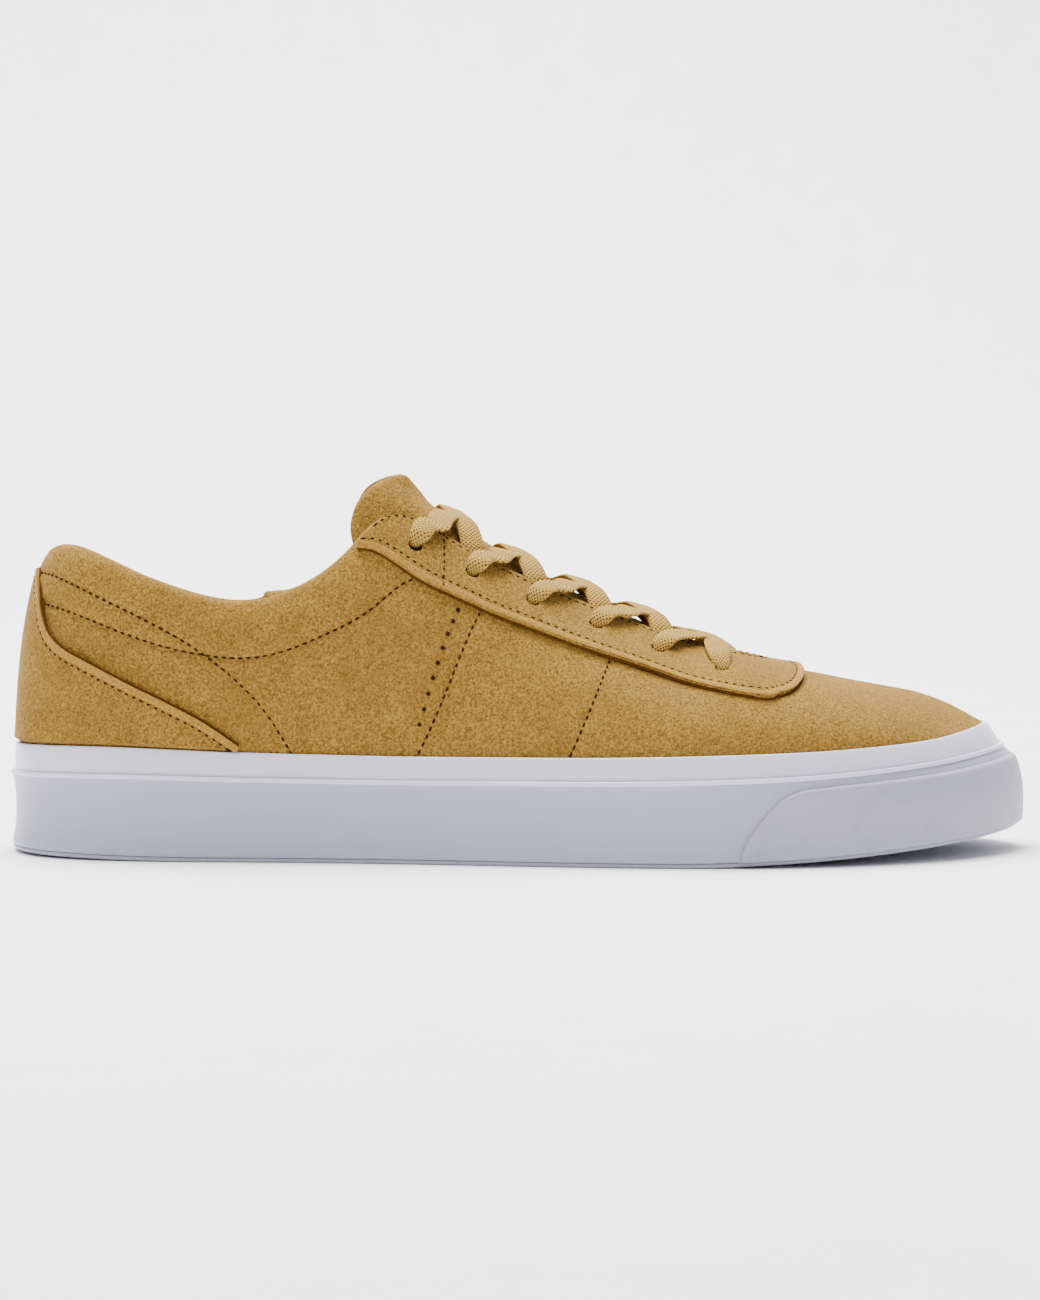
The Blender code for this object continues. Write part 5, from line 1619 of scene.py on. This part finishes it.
@dataclass
class Lacing:
    """A flat lace: five crossings and a straight bar at the lowest eyelets."""

    last: Last
    wardrobe: Wardrobe
    width: float = 7.5
    thickness: float = 1.3
    bunched: float = 0.58
    loft: float = 1.9
    facing: float = 2.0
    samples: int = 60
    sides: int = 18

    def near_controls(self, start: float, rise: float, end: float) -> list[tuple[float, float, float, float]]:
        """Return station, rise, lift and width of a band's way out of its hole."""
        step = end - start
        over = self.facing + self.thickness / 2
        return [
            (start + 0.02, rise + 0.01, -1.6, self.bunched),
            (start + 0.03, rise + 0.02, 1.0, self.bunched),
            (start + 0.12 * step, rise + 0.32 * (1 - rise), over + 0.9, 0.84),
            (start + 0.32 * step, rise + 0.74 * (1 - rise), over + 1.0, 0.98),
            (start + 0.56 * step, 1.0, over + 1.0, 1.0),
        ]

    def band(self, level: int, medial: bool) -> tuple[np.ndarray, np.ndarray, np.ndarray]:
        """Return the middle, normals and widths of one crossing band."""
        (start, rise), (end, end_rise) = EYELETS[level], EYELETS[level + 1]
        points, normals, widths = [], [], []
        for station, height, lift, wide in self.near_controls(start, rise, end):
            place = ROUND - station if medial else station
            points.append(self.last.offset(place, height, lift))
            normals.append(self.last.normal(place, height))
            widths.append(wide)
        middle = (0.75 if medial else -0.75) + (1.3 if level == 0 else 0.0) + self.loft
        for share, along, lift in ((0.12, 0.71, 3.1), (0.3, 0.88, middle + 0.6), (0.5, 1.02, middle),
                                   (0.7, 1.17, middle - 0.6), (0.88, 1.28, 0.2), (0.98, 1.34, -3.0)):
            across = 1.0 - share if medial else share
            station = start + (end - start) * along
            point, normal = self.last.arch_offset(np.array(station), np.array(across), np.array(lift))
            points.append(point)
            normals.append(normal)
            widths.append(1.0)
        place = end if medial else ROUND - end
        points.append(self.last.offset(place, (1.0 + end_rise) / 2, -self.last.wall - 0.8))
        normals.append(self.last.normal(place, (1.0 + end_rise) / 2))
        widths.append(0.9)
        return np.array(points), np.array(normals), np.array(widths)

    def bar(self) -> tuple[np.ndarray, np.ndarray, np.ndarray]:
        """Return the middle, normals and widths of the straight bar."""
        start, rise = EYELETS[-1]
        near = self.near_controls(start, rise, start)
        points = [self.last.offset(s, h, lift) for s, h, lift, _ in near]
        normals = [self.last.normal(s, h) for s, h, _, _ in near]
        for share in (0.25, 0.5, 0.75):
            point, normal = self.last.arch_offset(np.array(start), np.array(share), np.array(2.0))
            points.append(point)
            normals.append(normal)
        points += [self.last.offset(ROUND - s, h, lift) for s, h, lift, _ in near[::-1]]
        normals += [self.last.normal(ROUND - s, h) for s, h, _, _ in near[::-1]]
        widths = [n[3] for n in near] + [1.0] * 3 + [n[3] for n in near[::-1]]
        return np.array(points), np.array(normals), np.array(widths)

    def ribbon(self, points: np.ndarray, normals: np.ndarray, widths: np.ndarray) -> tuple[Any, Any, Any]:
        """Return points, faces and cloth places of a flat band along a path."""
        places = np.linspace(0.0, 1.0, self.samples)
        path, up = spline(points, places), unit(spline(normals, places))
        wide = spline(widths, places)
        ahead = unit(np.gradient(path, axis=0))
        toe = np.tile((1.0, 0.0, 0.0), (len(path), 1))
        side = unit(toe - ahead * (toe * ahead).sum(axis=1, keepdims=True))
        flat = np.cross(ahead, up)
        flat = unit(flat * np.sign((flat * side).sum(axis=1, keepdims=True)))
        share = smooth_step(0.10, 0.34, places)[:, None] * 0.6
        side = unit(side * (1.0 - share) + flat * share)
        side = unit(side - ahead * (side * ahead).sum(axis=1, keepdims=True))
        rise = unit(np.cross(side, ahead))
        run = run_along(path)
        rings, cloth = [], []
        for k in range(self.sides):
            turn = 2 * math.pi * k / self.sides
            across = np.sign(math.cos(turn)) * abs(math.cos(turn)) ** 0.55
            lift = np.sign(math.sin(turn)) * abs(math.sin(turn)) ** 0.8
            fold = 0.16 * self.width * (1.0 - wide[:, None]) * (1 - 2 * across**2)
            rings.append(path + side * across * self.width / 2 * wide[:, None]
                         + rise * (lift * self.thickness / 2 / np.sqrt(wide[:, None]) + fold))
            cloth.append(np.stack([run, np.full(len(run), across * self.width / 2)], axis=-1))
        grid, uv = np.stack(rings, axis=1), np.stack(cloth, axis=1)
        faces = [face[::-1] for face in tube_faces(len(path), self.sides)]
        return grid.reshape(-1, 3), faces, uv.reshape(-1, 2) * MM

    def build(self) -> list[bpy.types.Object]:
        """Build every band as a piece of its own.

        Returns:
            The bands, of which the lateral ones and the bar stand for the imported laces.
        """
        pieces, jobs = [], []
        for level in range(len(EYELETS) - 1):
            number = level + 1
            jobs.append((f"lace_over_{number}", self.band(level, True), None))
            jobs.append((f"lace_under_{number}", self.band(level, False), f"lace_crossing_{number}"))
        jobs.append(("lace_straight_bar", self.bar(), "lace_bar"))
        for name, path, node in jobs:
            points, faces, uv = self.ribbon(*path)
            piece = new_mesh(name, points, faces, [self.wardrobe.lace], uv=uv, sharp=80.0)
            if node:
                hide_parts(node)
            pieces.append(piece)
        return pieces


@dataclass
class Stitching:
    """The dark seams, and the vents as discs of painted shade, repeated by Geometry Nodes."""

    last: Last
    wardrobe: Wardrobe
    pitch: float = 2.35
    stitch: RepeatShape = RepeatShape(length=2.15, width=0.66, height=0.62, sides=6, rings=4)
    uneven: float = 0.06
    facing_bar: Line = ((7.47, 0.70), (7.62, 0.84), (7.76, 0.985))
    vent_diameter: float = 1.3
    vents: int = 9

    def on_face(
        self, line: Line, height: float, shell: UpperShell | None = None
    ) -> tuple[list[np.ndarray], list[np.ndarray]]:
        """Return points and normals along a line of both sides of the upper.

        Args:
            line: The seam's line on the lateral side.
            height: How far the points stand out from the face in mm.
            shell: The wall whose relief is added to the height, if any.

        Returns:
            One row of points and one of normals for each side.
        """
        station, rise = line_places(line, 160)
        rows, stands = [], []
        for place in (station, mirrored(station)):
            out = np.full(place.shape, height)
            if shell:
                out = out + shell.relief(place, rise, self.last.face(place, rise))
            rows.append(self.last.offset(place, rise, out))
            stands.append(self.last.normal(place, rise))
        return rows, stands

    def row(self, name: str, rows: list[np.ndarray], stands: list[np.ndarray]) -> bpy.types.Object:
        """Sew one seam along its rows of points."""
        thread = self.wardrobe.thread
        piece = follow_path(name, rows, self.stitch, self.pitch, thread, False, stands, self.uneven)
        return piece

    def build(self, shell: UpperShell, facing: Facing, counter: Counter) -> list[bpy.types.Object]:
        """Sew the panels' seams, the facing and the counter, and lay the vents as discs of painted shade."""
        pieces = []
        for name, line in (("collar_seam", COLLAR_SEAM), ("quarter_seam", QUARTER_SEAM),
                           ("back_panel_seam", BACK_PANEL_SEAM), ("front_panel_seam", FRONT_PANEL_SEAM)):
            pieces.append(self.row(f"{name}_stitches", *self.on_face(line, 0.12, shell)))
        for name, panel, distance, from_top in (
            ("facing_lower", facing, 3.3, False), ("facing_throat", facing, 2.4, True),
            ("counter", counter, 3.0, True),
        ):
            points, normals = panel.inset_line(distance, from_top)
            pieces.append(self.row(f"{name}_stitches", [points], [normals]))
        bar = self.on_face(self.facing_bar, facing.thickness)
        pieces.append(self.row("facing_bar_stitches", *bar))
        # Each vent is a flat disc on the suede in the near-black finish: painted shade for the inside of a
        # hole
        station, rise = line_places(VENT_ARC, self.vents)
        both = (np.concatenate([station, mirrored(station)]), np.tile(rise, 2))
        normals = self.last.normal(*both)
        centres = self.last.face(*both) + normals * 0.05
        shape = RepeatShape(self.vent_diameter, self.vent_diameter, 0.5, sides=14)
        vents = stand_on_points("vent_pinholes", centres, shape, self.wardrobe.hollow, normals)
        pieces.append(vents)
        return pieces


# Studio


@dataclass
class Studio:
    """A camera at the photograph's angle, a pale floor and soft light."""

    wardrobe: Wardrobe
    lens: float = 88.97
    pitch_down: float = 2.78
    place: tuple[float, float, float] = (0.0003, -0.950, 0.105)

    def set_camera(self) -> None:
        """Aim the camera across the shoe's lateral side."""
        data = bpy.data.cameras.new("camera")
        data.sensor_fit, data.sensor_width, data.lens = "AUTO", 36.0, self.lens
        data.clip_start, data.clip_end = 0.05, 60.0
        camera = new_object("camera", data)
        camera.location = self.place
        camera.rotation_euler = (math.radians(90.0 - self.pitch_down), 0.0, 0.0)
        bpy.context.scene.camera = camera

    def lay_floor(self) -> None:
        """Lay a wide sheet of paper that the shoe stands on, swept up behind it."""
        turns = np.radians(np.linspace(0.0, 90.0, 19))
        depth = np.concatenate([[-3e3, 0.0], 900.0 + 600.0 * np.sin(turns), [1500.0]])
        rise = np.concatenate([[0.0, 0.0], 600.0 * (1.0 - np.cos(turns)), [3500.0]])
        rows = [np.stack([np.full(depth.shape, x), depth, rise], axis=-1) for x in (3e3, -3e3)]
        points = np.stack(rows, axis=1).reshape(-1, 3)
        floor = new_mesh("studio_floor", points, grid_faces(len(depth), 2)[:, ::-1], [self.wardrobe.paper])

    def light(self) -> None:
        """Hang large soft lamps and a bright, slightly cool room round the shoe."""
        world = bpy.data.worlds.new("room")
        world.use_nodes = True
        room = world.node_tree.nodes["Background"]
        room.inputs["Color"].default_value = linear("#F4F6FF")
        room.inputs["Strength"].default_value = 0.6
        bpy.context.scene.world = world
        for name, place, aim, size, power in (
            ("key", (-0.7, -0.9, 1.5), (0.0, 0.0, 0.05), 0.9, 16.0),
            ("top", (-0.35, 0.45, 1.6), (0.0, 0.0, 0.05), 1.0, 60.0),
            ("paper_light", (0.0, 0.5, 2.6), (0.0, 1.4, 0.4), 1.6, 140.0),
        ):
            data = bpy.data.lights.new(name, "AREA")
            data.size, data.energy = size, power
            lamp = new_object(name, data)
            lamp.location = place
            aim_at = np.array(aim) - np.array(place)
            lamp.rotation_euler = Vector(aim_at).to_track_quat("-Z", "Y").to_euler()


def main() -> None:
    """Load the frame, dress it piece by piece and report each piece."""
    logging.basicConfig(level=logging.INFO, format="%(name)s: %(message)s")
    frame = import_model()
    last, wardrobe = Last(), Wardrobe()
    studio = Studio(wardrobe)
    studio.set_camera()
    studio.lay_floor()
    studio.light()
    sole = SoleUnit(last, wardrobe)
    sole.dress_slabs(frame["nodes"])
    shell, facing, counter = UpperShell(last, wardrobe), Facing(last, wardrobe), Counter(last, wardrobe)
    pieces = [sole.build_outsole(), sole.build_tread(), sole.build_foxing(), sole.build_strip(),
              sole.build_ribs(), sole.build_bumper(), sole.build_sock(), shell.build(),
              shell.build_padding(), facing.build(), facing.build_hollows(), counter.build()]
    cord = EdgeCord(wardrobe)
    pieces += cord.dress("facing", facing, False) + cord.dress("counter", counter, True)
    pieces += Tongue(last, wardrobe).build()
    pieces += Lacing(last, wardrobe).build()
    pieces += Stitching(last, wardrobe).build(shell, facing, counter)
    for piece in pieces:
        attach(piece, "root")
        piece.data.calc_loop_triangles()
        LOG.info("%s has %d triangles", piece.name, len(piece.data.loop_triangles))


if __name__ == "__main__":
    main()
